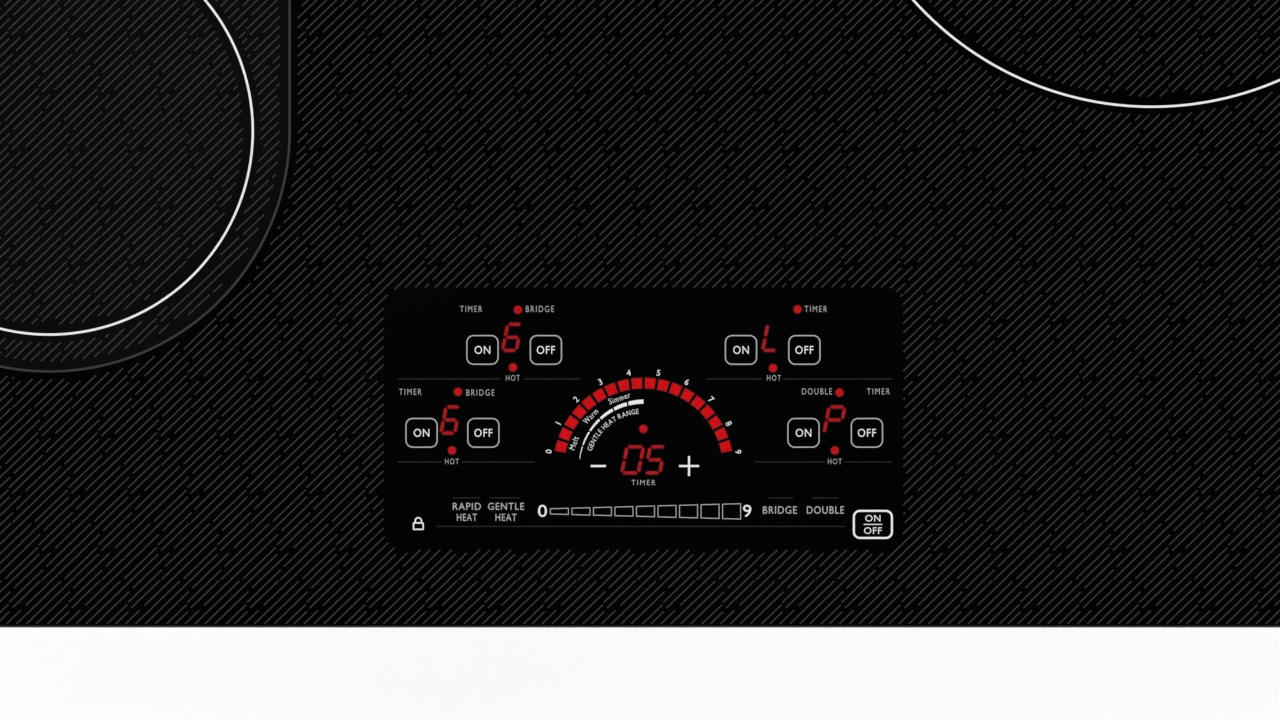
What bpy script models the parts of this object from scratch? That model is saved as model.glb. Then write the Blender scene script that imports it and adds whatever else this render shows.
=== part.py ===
"""Built-in induction cooktop with four cooking zones, in metres, +Z up.

The front edge of the glass faces -Y. The origin lies on the underside of the burner box, below
the middle of the glass. Everything hangs together from the glass down: glass, frame, box, and in
the box the sprung coil plates, the power electronics with their blowers, and the touch control.
"""

import math

import bmesh
import bpy
from mathutils import Matrix, Vector

# ---- Clearances and stock -------------------------------------------------------------------
GAP = 0.0003  # between pieces that touch
SHEET = 0.001  # steel sheet of the box, the frame and the rails

# ---- Glass ----------------------------------------------------------------------------------
GLASS_WIDTH = 0.781
GLASS_DEPTH = 0.546
GLASS_THICKNESS = 0.004
GLASS_CORNER = 0.010
GLASS_BEVEL = 0.0012

# ---- Burner box, frame and gasket -----------------------------------------------------------
BOX_SIDE_INSET = 0.0285  # glass edge to box wall, left and right
BOX_END_INSET = 0.024  # glass edge to box wall, front and rear
BOX_HEIGHT = 0.078
BOX_CORNER = 0.008
BOX_FOLD = 0.003
FRAME_LIP_OUT = 0.012
FRAME_LIP_IN = 0.005
FRAME_SKIRT = 0.014
GASKET_THICKNESS = 0.003
GASKET_EDGE_INSET = 0.004
GASKET_CLEARANCE = 0.001
SCREW_SPREAD = 0.300  # between the two screws of the front or the rear wall
SCREW_SHANK_RADIUS = 0.002
SCREW_HEAD_RADIUS = 0.0038
SCREW_HEAD_HEIGHT = 0.0024
SCREW_LENGTH = 0.008
SCREW_CROWN_SHARE = 0.7  # of the head's radius, flat on top
SCREW_RIM_SHARE = 0.4  # of the head's height, upright
SCREW_SHANK_SHARE = 0.85  # of the length, before the point

# ---- Vents and conduit entry ----------------------------------------------------------------
SLOT_WIDTH = 0.0036
INTAKE_PITCH = 0.009
EXHAUST_PITCH = 0.012
EXHAUST_SLOTS = 9
EXHAUST_HEIGHT = 0.030
VENT_BASE = 0.012  # floor to the foot of the exhaust slots
GLAND_OFFSET = 0.035
GLAND_LEVEL = 0.028
GLAND_BORE = 0.0105
GLAND_BARREL = 0.0130
GLAND_FLANGE = 0.0170
GLAND_FLANGE_THICKNESS = 0.003
GLAND_DEPTH = 0.012

# ---- Cooking zones --------------------------------------------------------------------------
SEVEN_INCH_ZONE = 0.0889
ELEVEN_INCH_ZONE = 0.1397
SIX_INCH_ZONE = 0.0762
LEFT_SIDE_MARGIN = 0.0421  # from the rim of a zone to the nearest side edge of the glass
RIGHT_SIDE_MARGIN = 0.0288
LEFT_REAR_MARGIN = 0.0561  # from the rim of a zone to the rear edge of the glass
RIGHT_REAR_MARGIN = 0.0390
CENTRE_REAR_MARGIN = 0.0568
LEFT_ZONE_GAP = 0.0062  # between the rims of the two left zones
CENTRE_ZONE_OFFSET = -0.036
COIL_MARGIN = 0.009  # zone radius less winding radius
DUAL_SPLIT = 0.0889  # where the outer winding of the large zone begins
DUAL_SPLIT_GAP = 0.004

# ---- Coil stack, from the glass down --------------------------------------------------------
MAT_THICKNESS = 0.003
WINDING_HEIGHT = 0.005
CARRIER_THICKNESS = 0.008
PLATE_THICKNESS = 0.0015
CARRIER_RIM = 0.003
CARRIER_SPOKES = 8
CARRIER_SPOKE_SHARE = 0.32  # of the pitch between two spokes
WINDING_BORE = 0.022
MAT_BORE = 0.011
HUB_BORE = 0.0125
SENSOR_RADIUS = 0.0075
SENSOR_FLANGE = 0.0110
PLATE_CLEARANCE = 0.004
PLATE_CORNER = 0.006
PLATE_MARGIN = 0.005
PLATE_SIDE_MARGIN = 0.020
PLATE_REAR_CLEARANCE = 0.012
RAIL_WIDTH = 0.016
RAIL_END_CLEARANCE = 0.004
SPRING_HEIGHT = 0.0166  # from a rail to the coil plate
SPRING_RADIUS = 0.0055
SPRING_WIRE = 0.0007
SPRING_TURNS = 3
SPRING_STEPS = 8  # in each turn
SPRING_END_INSET = 0.030

# ---- Blowers and power electronics ----------------------------------------------------------
FAN_HEIGHT = 0.030
FAN_WALL = 0.002
SCROLL_INNER = 0.041
SCROLL_OUTER = 0.054
SCROLL_TONGUE = math.radians(50)
OUTLET_REACH = 0.056
ROTOR_RADIUS = 0.037
ROTOR_BLADES = 19
ROTOR_BLADE_INNER = 0.027
ROTOR_BLADE_THICKNESS = 0.0009
ROTOR_BLADE_LEAN = math.radians(28)
ROTOR_DISC = 0.0016
ROTOR_HUB = 0.011
ROTOR_CLEARANCE = 0.002
AXLE_RADIUS = 0.0015
AXLE_CLEARANCE = 0.0003
FAN_WALL_CLEARANCE = 0.016
BOARD_WIDTH = 0.150
BOARD_THICKNESS = 0.0016
BOARD_STANDOFF = 0.006
BOARD_ROWS = 5  # rows of components on a power board
BOARD_CLEARANCE = 0.006
BOARD_REAR_CLEARANCE = 0.070
POST_RADIUS = 0.003
COIL_COLUMN = 0.028  # from a power board's left edge to the row of chokes and large capacitors
SMALL_COLUMN = 0.072  # the same, to the row of small capacitors and the relay
CHOKE_SIZE = (0.032, 0.038, 0.026)
RELAY_SIZE = (0.024, 0.028, 0.018)
LARGE_CAN = (0.0135, 0.030)  # radius and height
SMALL_CAN = (0.0085, 0.024)
HEATSINK_WIDTH = 0.050
HEATSINK_HEIGHT = 0.034
HEATSINK_BASE = 0.005
HEATSINK_FINS = 9
HEATSINK_FIN = 0.0016
FILTER_WIDTH = 0.150
FILTER_DEPTH = 0.105
FILTER_FORWARD = 0.035  # how far it reaches in front of the left front zone's middle
TOROID_CAN = (0.017, 0.026)
TOROID_COLUMN = 0.032
X_CAPACITOR_SIZE = (0.036, 0.020, 0.028)
X_CAPACITOR_COLUMN = 0.078
FUSE_SIZE = (0.014, 0.044, 0.016)
FUSE_COLUMN = 0.119
FILTER_ROWS = (0.028, 0.072)  # from the filter board's front edge
TERMINAL_SIZE = (0.050, 0.028, 0.020)
TERMINAL_WAYS = 3
TERMINAL_CHANNEL_SHARE = 0.6  # of the pitch between two ways
TERMINAL_REAR_CLEARANCE = 0.030

# ---- Touch control --------------------------------------------------------------------------
PANEL_WIDTH = 0.227
PANEL_DEPTH = 0.1146
PANEL_FRONT_INSET = 0.034
TRAY_WALL = 0.002
TRAY_MARGIN = 0.004
TRAY_DEPTH_BELOW_GLASS = 0.020
SHIELD_THICKNESS = 0.005
TRAY_LEG = 0.010
TRAY_LEG_INSET = 0.026
TRAY_LEG_CLEARANCE = 0.002
DISPLAY_SIZE = (0.0095, 0.0140)
DISPLAY_HEIGHT = 0.003
LED_WINDOW = 0.0021
ARC_CENTRE_INSET = 0.0699  # from the front edge of the glass
ARC_OUTER = 0.0392
ARC_INNER = 0.0344
ARC_BLOCKS = 18
ARC_SPAN = math.radians(160)
ARC_BLOCK_SHARE = 0.86
DIGITS = ((-0.0572, 0.1266), (-0.0838, 0.0906), (0.0562, 0.1266), (0.0838, 0.0906), (-0.0050, 0.0733),
          (0.0050, 0.0733))
INDICATORS = ((-0.0548, 0.1390), (0.0673, 0.1390), (-0.0570, 0.1137), (0.0566, 0.1137), (-0.0810, 0.1030),
              (0.0856, 0.1030), (-0.0838, 0.0775), (0.0838, 0.0775), (0.0, 0.0869))

# ---- Hold-down clamps -----------------------------------------------------------------------
BRACKET_SHEET = 0.0012
BRACKET_HALF_WIDTH = 0.009
BRACKET_BASE = 0.008
BRACKET_CLEARANCE = 0.006  # below the skirt of the frame
CLAMP_BOSS = 0.0056
CLAMP_SCREW_RADIUS = 0.0025
CLAMP_HEAD_RADIUS = 0.0045
CLAMP_HEAD_HEIGHT = 0.004
CLAMP_COLLAR_HEIGHT = 0.0015
CLAMP_NUT_RADIUS = 0.0050
CLAMP_NUT_HEIGHT = 0.004
CLAMP_SLEEVE_RADIUS = 0.0038
CLAMP_ARM_THICKNESS = 0.003
CLAMP_ARM_LENGTH = 0.042
CLAMP_ARM_WIDTH = 0.009
CLAMP_PAD_LENGTH = 0.012
CLAMP_PAD_HEIGHT = 0.003

# ---- Levels and places worked out from the sizes above --------------------------------------
FLOOR = SHEET + GAP
GLASS_BOTTOM = BOX_HEIGHT + SHEET + 2 * GAP
GLASS_TOP = GLASS_BOTTOM + GLASS_THICKNESS
HALF_WIDTH = GLASS_WIDTH / 2
HALF_DEPTH = GLASS_DEPTH / 2
BOX_X = HALF_WIDTH - BOX_SIDE_INSET
BOX_Y = HALF_DEPTH - BOX_END_INSET
INNER_X = BOX_X - SHEET
INNER_Y = BOX_Y - SHEET

MAT_TOP = GLASS_BOTTOM - GAP
WINDING_TOP = MAT_TOP - MAT_THICKNESS - GAP
CARRIER_TOP = WINDING_TOP - WINDING_HEIGHT - GAP
PLATE_TOP = CARRIER_TOP - CARRIER_THICKNESS - GAP
PLATE_BOTTOM = PLATE_TOP - PLATE_THICKNESS

LEFT_X = -HALF_WIDTH + LEFT_SIDE_MARGIN + SEVEN_INCH_ZONE
RIGHT_X = HALF_WIDTH - RIGHT_SIDE_MARGIN - ELEVEN_INCH_ZONE
LEFT_REAR_Y = HALF_DEPTH - LEFT_REAR_MARGIN - SEVEN_INCH_ZONE
LEFT_FRONT_Y = LEFT_REAR_Y - LEFT_ZONE_GAP - 2 * SEVEN_INCH_ZONE
RIGHT_Y = HALF_DEPTH - RIGHT_REAR_MARGIN - ELEVEN_INCH_ZONE
CENTRE_Y = HALF_DEPTH - CENTRE_REAR_MARGIN - SIX_INCH_ZONE
ZONES = {
    "left_front": (LEFT_X, LEFT_FRONT_Y, SEVEN_INCH_ZONE),
    "left_rear": (LEFT_X, LEFT_REAR_Y, SEVEN_INCH_ZONE),
    "centre_rear": (CENTRE_ZONE_OFFSET, CENTRE_Y, SIX_INCH_ZONE),
    "right": (RIGHT_X, RIGHT_Y, ELEVEN_INCH_ZONE),
}

RAIL_FACE = INNER_X - PLATE_CLEARANCE - RAIL_WIDTH  # inner face of an outer support rail
BOARDS = {
    "left": (-RAIL_FACE + BOARD_CLEARANCE, -RAIL_FACE + BOARD_CLEARANCE + BOARD_WIDTH),
    "right": (RAIL_FACE - BOARD_CLEARANCE - BOARD_WIDTH, RAIL_FACE - BOARD_CLEARANCE),
}  # low x and high x of each power board, beside its outer rail
PLATE_REAR = INNER_Y - PLATE_REAR_CLEARANCE
LEFT_PLATE_END = max(LEFT_X + SEVEN_INCH_ZONE + PLATE_SIDE_MARGIN,
                     BOARDS["left"][1] + BOARD_CLEARANCE + RAIL_WIDTH)
PLATES = {
    "left": (-INNER_X + PLATE_CLEARANCE, LEFT_FRONT_Y - SEVEN_INCH_ZONE - PLATE_MARGIN,
             LEFT_PLATE_END, PLATE_REAR),
    "right": (CENTRE_ZONE_OFFSET - SIX_INCH_ZONE - PLATE_MARGIN,
              RIGHT_Y - ELEVEN_INCH_ZONE - PLATE_MARGIN,
              INNER_X - PLATE_CLEARANCE, PLATE_REAR),
}
RAIL_INSET = RAIL_WIDTH / 2
RAIL_TOP = PLATE_BOTTOM - SPRING_HEIGHT
RAIL_HEIGHT = RAIL_TOP - FLOOR

PANEL_Y = -HALF_DEPTH + PANEL_FRONT_INSET + PANEL_DEPTH / 2
TRAY_BOTTOM = GLASS_BOTTOM - TRAY_DEPTH_BELOW_GLASS
SHIELD_TOP = GLASS_BOTTOM - 2 * GAP
SHIELD_BOTTOM = SHIELD_TOP - SHIELD_THICKNESS
TOUCH_BOARD_TOP = SHIELD_BOTTOM - GAP - DISPLAY_HEIGHT
TOUCH_BOARD_BOTTOM = TOUCH_BOARD_TOP - BOARD_THICKNESS

BRACKET_X = BOX_X + GAP
BRACKET_TOP = BOX_HEIGHT - FRAME_SKIRT - BRACKET_CLEARANCE
CLAMP_X = BRACKET_X + BRACKET_SHEET + GAP + CLAMP_BOSS
NUT_BOTTOM = BRACKET_BASE + BRACKET_SHEET + 2 * GAP
ARM_BOTTOM = NUT_BOTTOM + CLAMP_NUT_HEIGHT + GAP
CIRCLE_STEPS = 30
SINK = 0.0005  # how far united pieces run into each other


# ---- Scene and materials --------------------------------------------------------------------
def clear_scene():
    for old in list(bpy.data.objects):
        bpy.data.objects.remove(old)


def collection(name):
    made = bpy.data.collections.new(name)
    bpy.context.scene.collection.children.link(made)
    return made


def material(name, colour, roughness, metallic):
    made = bpy.data.materials.new(name)
    made.use_nodes = True
    shader = made.node_tree.nodes["Principled BSDF"]
    shader.inputs["Base Color"].default_value = (*colour, 1.0)
    shader.inputs["Roughness"].default_value = roughness
    shader.inputs["Metallic"].default_value = metallic
    return made


clear_scene()
PARTS = collection("induction_cooktop")
HELPERS = collection("cutters")
GLASS = material("glass_black", (0.008, 0.008, 0.010), 0.08, 0.0)
STEEL = material("galvanised_steel", (0.55, 0.57, 0.58), 0.38, 0.9)
SCREW_STEEL = material("zinc_steel", (0.62, 0.62, 0.60), 0.30, 1.0)
ALUMINIUM = material("aluminium", (0.75, 0.76, 0.78), 0.30, 1.0)
FOAM = material("gasket_foam", (0.03, 0.03, 0.03), 0.95, 0.0)
BLACK_PLASTIC = material("black_plastic", (0.03, 0.03, 0.035), 0.55, 0.0)
WHITE_PLASTIC = material("carrier_plastic", (0.72, 0.70, 0.64), 0.6, 0.0)
COPPER = material("copper_litz", (0.72, 0.33, 0.14), 0.35, 0.9)
MAT = material("insulation_mat", (0.80, 0.78, 0.72), 0.95, 0.0)
CIRCUIT = material("circuit_board", (0.02, 0.16, 0.07), 0.45, 0.0)
SPRING_STEEL = material("spring_steel", (0.45, 0.46, 0.48), 0.28, 1.0)


# ---- Modelling helpers ----------------------------------------------------------------------
def add_object(name, data, finish, helper=False):
    made = bpy.data.objects.new(name, data)
    data.materials.append(finish)
    (HELPERS if helper else PARTS).objects.link(made)
    if helper:
        made.hide_render = True
        made.display_type = "WIRE"
    return made


def mesh_from(build, name, finish, helper=False):
    """An object from a bmesh that build() fills."""
    work = bmesh.new()
    build(work)
    data = bpy.data.meshes.new(name)
    work.to_mesh(data)
    work.free()
    return add_object(name, data, finish, helper)


def shade_round(made, angle=math.radians(35)):
    made.data.shade_smooth()
    made.data.set_sharp_from_angle(angle=angle)
    return made


def add_box(work, low, high):
    size = Vector(high) - Vector(low)
    middle = (Vector(high) + Vector(low)) / 2
    place = Matrix.Translation(middle) @ Matrix.Diagonal((*size, 1.0))
    bmesh.ops.create_cube(work, size=1.0, matrix=place)


def add_cylinder(work, centre, radius, low_z, high_z, steps=16):
    place = Matrix.Translation((*centre, (low_z + high_z) / 2))
    bmesh.ops.create_cone(work, cap_ends=True, segments=steps, radius1=radius, radius2=radius,
                          depth=high_z - low_z, matrix=place)


def box(name, low, high, finish, helper=False):
    return mesh_from(lambda work: add_box(work, low, high), name, finish, helper)


def boxes(name, pairs, finish, helper=True):
    """One mesh of several boxes that don't meet, each given by its low and high corner."""
    def build(work):
        for low, high in pairs:
            add_box(work, low, high)
    return mesh_from(build, name, finish, helper)


def cylinders(name, places, finish, steps=16, helper=True):
    """One mesh of several upright cylinders: (centre, radius, low z, high z)."""
    def build(work):
        for centre, radius, low_z, high_z in places:
            add_cylinder(work, centre, radius, low_z, high_z, steps)
    return mesh_from(build, name, finish, helper)


def circle(radius, centre=(0.0, 0.0), steps=CIRCLE_STEPS):
    return [(centre[0] + radius * math.cos(math.tau * i / steps),
             centre[1] + radius * math.sin(math.tau * i / steps)) for i in range(steps)]


def rectangle(low_x, low_y, high_x, high_y):
    return [(low_x, low_y), (high_x, low_y), (high_x, high_y), (low_x, high_y)]


def rounded_rectangle(low_x, low_y, high_x, high_y, radius, steps=4):
    corners = ((high_x - radius, high_y - radius, 0), (low_x + radius, high_y - radius, 1),
               (low_x + radius, low_y + radius, 2), (high_x - radius, low_y + radius, 3))
    points = []
    for x, y, quarter in corners:
        for i in range(steps + 1):
            angle = (quarter + i / steps) * math.pi / 2
            points.append((x + radius * math.cos(angle), y + radius * math.sin(angle)))
    return points


def flat_plate(name, outlines, low_z, high_z, finish):
    """A flat piece from closed outlines: the first is its edge, and the others are holes."""
    data = bpy.data.curves.new(name, "CURVE")
    data.dimensions = "2D"
    data.fill_mode = "BOTH"
    data.extrude = (high_z - low_z) / 2
    for outline in outlines:
        spline = data.splines.new("POLY")
        spline.points.add(len(outline) - 1)
        for point, (x, y) in zip(spline.points, outline):
            point.co = (x, y, 0.0, 1.0)
        spline.use_cyclic_u = True
    made = add_object(name, data, finish)
    made.location.z = (high_z + low_z) / 2
    return made


def as_mesh(curve, helper=False):
    """The same object as a welded mesh, ready for a Boolean."""
    bpy.context.view_layer.update()
    graph = bpy.context.evaluated_depsgraph_get()
    data = bpy.data.meshes.new_from_object(curve.evaluated_get(graph))
    work = bmesh.new()
    work.from_mesh(data)
    bmesh.ops.remove_doubles(work, verts=work.verts, dist=1e-6)
    bmesh.ops.recalc_face_normals(work, faces=work.faces)
    work.to_mesh(data)
    work.free()
    name, place, finish = curve.name, curve.matrix_world.copy(), curve.data.materials[0]
    bpy.data.objects.remove(curve)
    data.materials.clear()
    made = add_object(name, data, finish, helper)
    made.matrix_world = place
    return made


def solid_plate(name, outlines, low_z, high_z, finish, helper=False):
    return as_mesh(flat_plate(name, outlines, low_z, high_z, finish), helper)


def turned(name, profile, centre, finish, steps=24, helper=False, closed=False):
    """A turned piece about the vertical through centre. The profile is (radius, z), down its outer side."""
    data = bpy.data.meshes.new(name)
    count = len(profile)
    edges = [(i, i + 1) for i in range(count - 1)] + ([(count - 1, 0)] if closed else [])
    data.from_pydata([(radius, 0.0, z) for radius, z in profile], edges, [])
    made = add_object(name, data, finish, helper)
    made.location = (*centre, 0.0)
    screw = made.modifiers.new("turn", "SCREW")
    screw.steps = screw.render_steps = steps
    screw.use_merge_vertices = True
    screw.merge_threshold = 1e-5
    screw.use_smooth_shade = False
    return made


def cut(made, *cutters):
    for cutter in cutters:
        modifier = made.modifiers.new("cut", "BOOLEAN")
        modifier.operation = "DIFFERENCE"
        modifier.object = cutter
    return made


def unite(made, *others):
    for other in others:
        modifier = made.modifiers.new("join", "BOOLEAN")
        modifier.operation = "UNION"
        modifier.object = other
    return made


# ---- Glass, frame, gasket -------------------------------------------------------------------
def glass_top():
    made = solid_plate(
        "glass_top",
        [rounded_rectangle(-HALF_WIDTH, -HALF_DEPTH, HALF_WIDTH, HALF_DEPTH, GLASS_CORNER, 6)],
        GLASS_BOTTOM, GLASS_TOP, GLASS)
    bevel = made.modifiers.new("ground_edge", "BEVEL")
    bevel.width = GLASS_BEVEL
    bevel.segments = 2
    bevel.limit_method = "ANGLE"
    bevel.angle_limit = math.radians(60)
    return shade_round(made)


def ring_outlines(half_x, half_y, inner_x, inner_y, corner):
    """The outline of a rectangular ring and of its opening, both with rounded corners."""
    inner_corner = max(corner - (half_x - inner_x), corner / 3)
    return [rounded_rectangle(-half_x, -half_y, half_x, half_y, corner, 3),
            rounded_rectangle(-inner_x, -inner_y, inner_x, inner_y, inner_corner, 3)]


def frame_screw_holes():
    """Cutters for the screws that hold the frame's skirt to the box, through both of them."""
    level = BOX_HEIGHT - FRAME_SKIRT / 2
    places = []
    for side in (-1, 1):
        for end in (-1, 1):
            places.append((side * SCREW_SPREAD / 2, end * BOX_Y, level))

    def build(work):
        for place in places:
            bmesh.ops.create_cone(
                work, cap_ends=True, segments=12, radius1=SCREW_SHANK_RADIUS + GAP,
                radius2=SCREW_SHANK_RADIUS + GAP, depth=SCREW_LENGTH,
                matrix=Matrix.Translation(place) @ Matrix.Rotation(math.pi / 2, 4, "X"))
    return mesh_from(build, "screw_hole_cutter", STEEL, helper=True), places


def glass_frame(holes):
    """The steel frame bonded under the glass: a flat lip with a skirt outside the box wall."""
    lip_low = BOX_HEIGHT + GAP
    lip = solid_plate(
        "glass_frame",
        ring_outlines(BOX_X + FRAME_LIP_OUT, BOX_Y + FRAME_LIP_OUT, BOX_X - FRAME_LIP_IN,
                      BOX_Y - FRAME_LIP_IN, BOX_CORNER + FRAME_LIP_OUT),
        lip_low, lip_low + SHEET, STEEL)
    skirt_in = BOX_X + GAP, BOX_Y + GAP
    skirt = solid_plate(
        "frame_skirt",
        [rounded_rectangle(-skirt_in[0] - SHEET, -skirt_in[1] - SHEET, skirt_in[0] + SHEET,
                           skirt_in[1] + SHEET, BOX_CORNER + GAP + SHEET, 3),
         rounded_rectangle(-skirt_in[0], -skirt_in[1], skirt_in[0], skirt_in[1], BOX_CORNER + GAP, 3)],
        BOX_HEIGHT - FRAME_SKIRT, lip_low + SINK, STEEL, helper=True)
    return cut(unite(lip, skirt), holes)


def worktop_gasket():
    top = GLASS_BOTTOM - GAP
    inner = FRAME_LIP_OUT + GASKET_CLEARANCE
    return flat_plate(
        "worktop_gasket",
        ring_outlines(HALF_WIDTH - GASKET_EDGE_INSET, HALF_DEPTH - GASKET_EDGE_INSET,
                      BOX_X + inner, BOX_Y + inner, GLASS_CORNER),
        top - GASKET_THICKNESS, top, FOAM)


def frame_screws(places):
    """Pan-head screws through the skirt, turned about the vertical and laid along Y."""
    names = ("front_left", "rear_left", "front_right", "rear_right")
    seat = GAP + SHEET + GAP  # from the box wall to under the head
    profile = [(0.0, SCREW_HEAD_HEIGHT), (SCREW_HEAD_RADIUS * SCREW_CROWN_SHARE, SCREW_HEAD_HEIGHT),
               (SCREW_HEAD_RADIUS, SCREW_HEAD_HEIGHT * SCREW_RIM_SHARE), (SCREW_HEAD_RADIUS, 0.0),
               (SCREW_SHANK_RADIUS, 0.0), (SCREW_SHANK_RADIUS, -SCREW_LENGTH * SCREW_SHANK_SHARE),
               (0.0, -SCREW_LENGTH)]
    for label, (x, y, z) in zip(names, places):
        outward = math.copysign(1.0, y)
        made = turned("frame_screw_" + label, profile, (0.0, 0.0), SCREW_STEEL, steps=12)
        made.rotation_euler.x = -outward * math.pi / 2
        made.location = (x, y + outward * seat, z)


# ---- Burner box -----------------------------------------------------------------------------
def fan_places():
    """{side: (fan x, fan y, heatsink x)}: each outlet blows along +Y down the middle of its heatsink."""
    outlet_middle = (SCROLL_OUTER + SCROLL_INNER * math.cos(SCROLL_TONGUE)) / 2
    y = -INNER_Y + FAN_WALL_CLEARANCE + SCROLL_OUTER
    places = {}
    for side, (_, high_x) in BOARDS.items():
        sink_x = high_x - HEATSINK_WIDTH / 2 - BOARD_CLEARANCE
        places[side] = (sink_x - outlet_middle, y, sink_x)
    return places


def intake_slots():
    """Slots in the floor below each blower, each as long as the circle of the rotor is wide there."""
    pairs = []
    rows = int(ROTOR_RADIUS / INTAKE_PITCH)
    for x, y, _ in fan_places().values():
        for row in range(-rows, rows + 1):
            offset = row * INTAKE_PITCH
            half = math.sqrt(ROTOR_RADIUS ** 2 - offset ** 2)
            pairs.append(((x - half, y + offset - SLOT_WIDTH / 2, -SHEET),
                          (x + half, y + offset + SLOT_WIDTH / 2, 2 * SHEET)))
    return boxes("intake_cutter", pairs, STEEL)


def exhaust_slots():
    """Upright slots in the rear wall behind each heatsink."""
    pairs = []
    for _, _, sink_x in fan_places().values():
        for i in range(EXHAUST_SLOTS):
            x = sink_x + (i - (EXHAUST_SLOTS - 1) / 2) * EXHAUST_PITCH
            pairs.append(((x - SLOT_WIDTH / 2, INNER_Y - SHEET, VENT_BASE),
                          (x + SLOT_WIDTH / 2, BOX_Y + SHEET, VENT_BASE + EXHAUST_HEIGHT)))
    return boxes("exhaust_cutter", pairs, STEEL)


def burner_box(holes):
    """The pan: an open sheet with rounded upright corners and a rounded fold round its floor."""
    def build(work):
        add_box(work, (-BOX_X, -BOX_Y, 0.0), (BOX_X, BOX_Y, BOX_HEIGHT))
        top = [face for face in work.faces if face.normal.z > 0.5]
        bmesh.ops.delete(work, geom=top, context="FACES_ONLY")
        upright = [edge for edge in work.edges if abs(edge.verts[0].co.z - edge.verts[1].co.z) > SHEET]
        bmesh.ops.bevel(work, geom=upright, offset=BOX_CORNER, segments=3, profile=0.5, affect="EDGES")
        floor = [edge for edge in work.edges
                 if max(abs(vert.co.z) for vert in edge.verts) < SHEET and len(edge.link_faces) == 2]
        bmesh.ops.bevel(work, geom=floor, offset=BOX_FOLD, segments=2, profile=0.5, affect="EDGES")

    made = mesh_from(build, "burner_box", STEEL)
    shell = made.modifiers.new("sheet", "SOLIDIFY")
    shell.thickness = SHEET
    shell.offset = -1.0
    gland_hole = mesh_from(
        lambda work: bmesh.ops.create_cone(
            work, cap_ends=True, segments=24, radius1=GLAND_BARREL + GAP, radius2=GLAND_BARREL + GAP,
            depth=10 * SHEET, matrix=Matrix.Translation((GLAND_OFFSET, BOX_Y - SHEET / 2, GLAND_LEVEL))
            @ Matrix.Rotation(math.pi / 2, 4, "X")),
        "gland_hole_cutter", STEEL, helper=True)
    return cut(made, intake_slots(), exhaust_slots(), gland_hole, holes)


def conduit_gland():
    """The bush that lines the wiring hole in the rear wall, with its flange outside."""
    profile = [(GLAND_FLANGE, GLAND_FLANGE_THICKNESS), (GLAND_FLANGE, 0.0), (GLAND_BARREL, 0.0),
               (GLAND_BARREL, -GLAND_DEPTH), (GLAND_BORE, -GLAND_DEPTH),
               (GLAND_BORE, GLAND_FLANGE_THICKNESS)]
    made = turned("conduit_gland", profile, (0.0, 0.0), BLACK_PLASTIC, steps=20, closed=True)
    made.rotation_euler.x = -math.pi / 2
    made.location = (GLAND_OFFSET, BOX_Y + GAP, GLAND_LEVEL)
    return made


# ---- Coil plates, rails and springs ---------------------------------------------------------
def rail(name, low_x, high_x, low_y, high_y):
    """An inverted channel that runs front to back on the floor and carries the springs."""
    height = RAIL_HEIGHT
    outline = [(low_x, 0.0), (low_x + SHEET, 0.0), (low_x + SHEET, height - SHEET),
               (high_x - SHEET, height - SHEET), (high_x - SHEET, 0.0), (high_x, 0.0),
               (high_x, height), (low_x, height)]
    made = flat_plate(name, [outline], 0.0, high_y - low_y, STEEL)
    made.rotation_euler.x = math.pi / 2
    made.location = (0.0, (low_y + high_y) / 2, FLOOR)
    return made


def spring_rows():
    """{plate: (left row x, right row x)}: the springs stand above the middle of their rails."""
    return {side: (low_x + RAIL_INSET, high_x - RAIL_INSET)
            for side, (low_x, _, high_x, _) in PLATES.items()}


def support_rails():
    rows = spring_rows()
    half = RAIL_WIDTH / 2
    low_y = {side: plate[1] + RAIL_END_CLEARANCE for side, plate in PLATES.items()}
    rear = PLATE_REAR - RAIL_END_CLEARANCE
    rail("support_rail_left", rows["left"][0] - half, rows["left"][0] + half, low_y["left"], rear)
    rail("support_rail_middle", rows["left"][1] - half, rows["right"][0] + half,
         min(low_y.values()), rear)
    rail("support_rail_right", rows["right"][1] - half, rows["right"][1] + half, low_y["right"], rear)


def lift_spring(name, x, y):
    """A helical compression spring between a rail and a coil plate."""
    low = RAIL_TOP + GAP + SPRING_WIRE
    high = PLATE_BOTTOM - GAP - SPRING_WIRE
    steps = SPRING_STEPS * SPRING_TURNS
    data = bpy.data.curves.new(name, "CURVE")
    data.dimensions = "3D"
    data.bevel_depth = SPRING_WIRE
    data.bevel_resolution = 0
    data.use_fill_caps = True
    spline = data.splines.new("POLY")
    spline.points.add(steps)
    for i, point in enumerate(spline.points):
        angle = math.tau * SPRING_TURNS * i / steps
        point.co = (SPRING_RADIUS * math.cos(angle), SPRING_RADIUS * math.sin(angle),
                    low + (high - low) * i / steps, 1.0)
    made = add_object(name, data, SPRING_STEEL)
    made.location = (x, y, 0.0)
    return made


def coil_plates():
    for side, (low_x, low_y, high_x, high_y) in PLATES.items():
        outlines = [rounded_rectangle(low_x, low_y, high_x, high_y, PLATE_CORNER, 3)]
        for x, y, _ in ZONES.values():
            if low_x < x < high_x and low_y < y < high_y:
                outlines.append(circle(HUB_BORE, (x, y), 16))
        flat_plate("coil_plate_" + side, outlines, PLATE_BOTTOM, PLATE_TOP, ALUMINIUM)
        number = 0
        for x in spring_rows()[side]:
            for y in (low_y + SPRING_END_INSET, high_y - SPRING_END_INSET):
                number += 1
                lift_spring(f"lift_spring_{side}_{number}", x, y)


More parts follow.
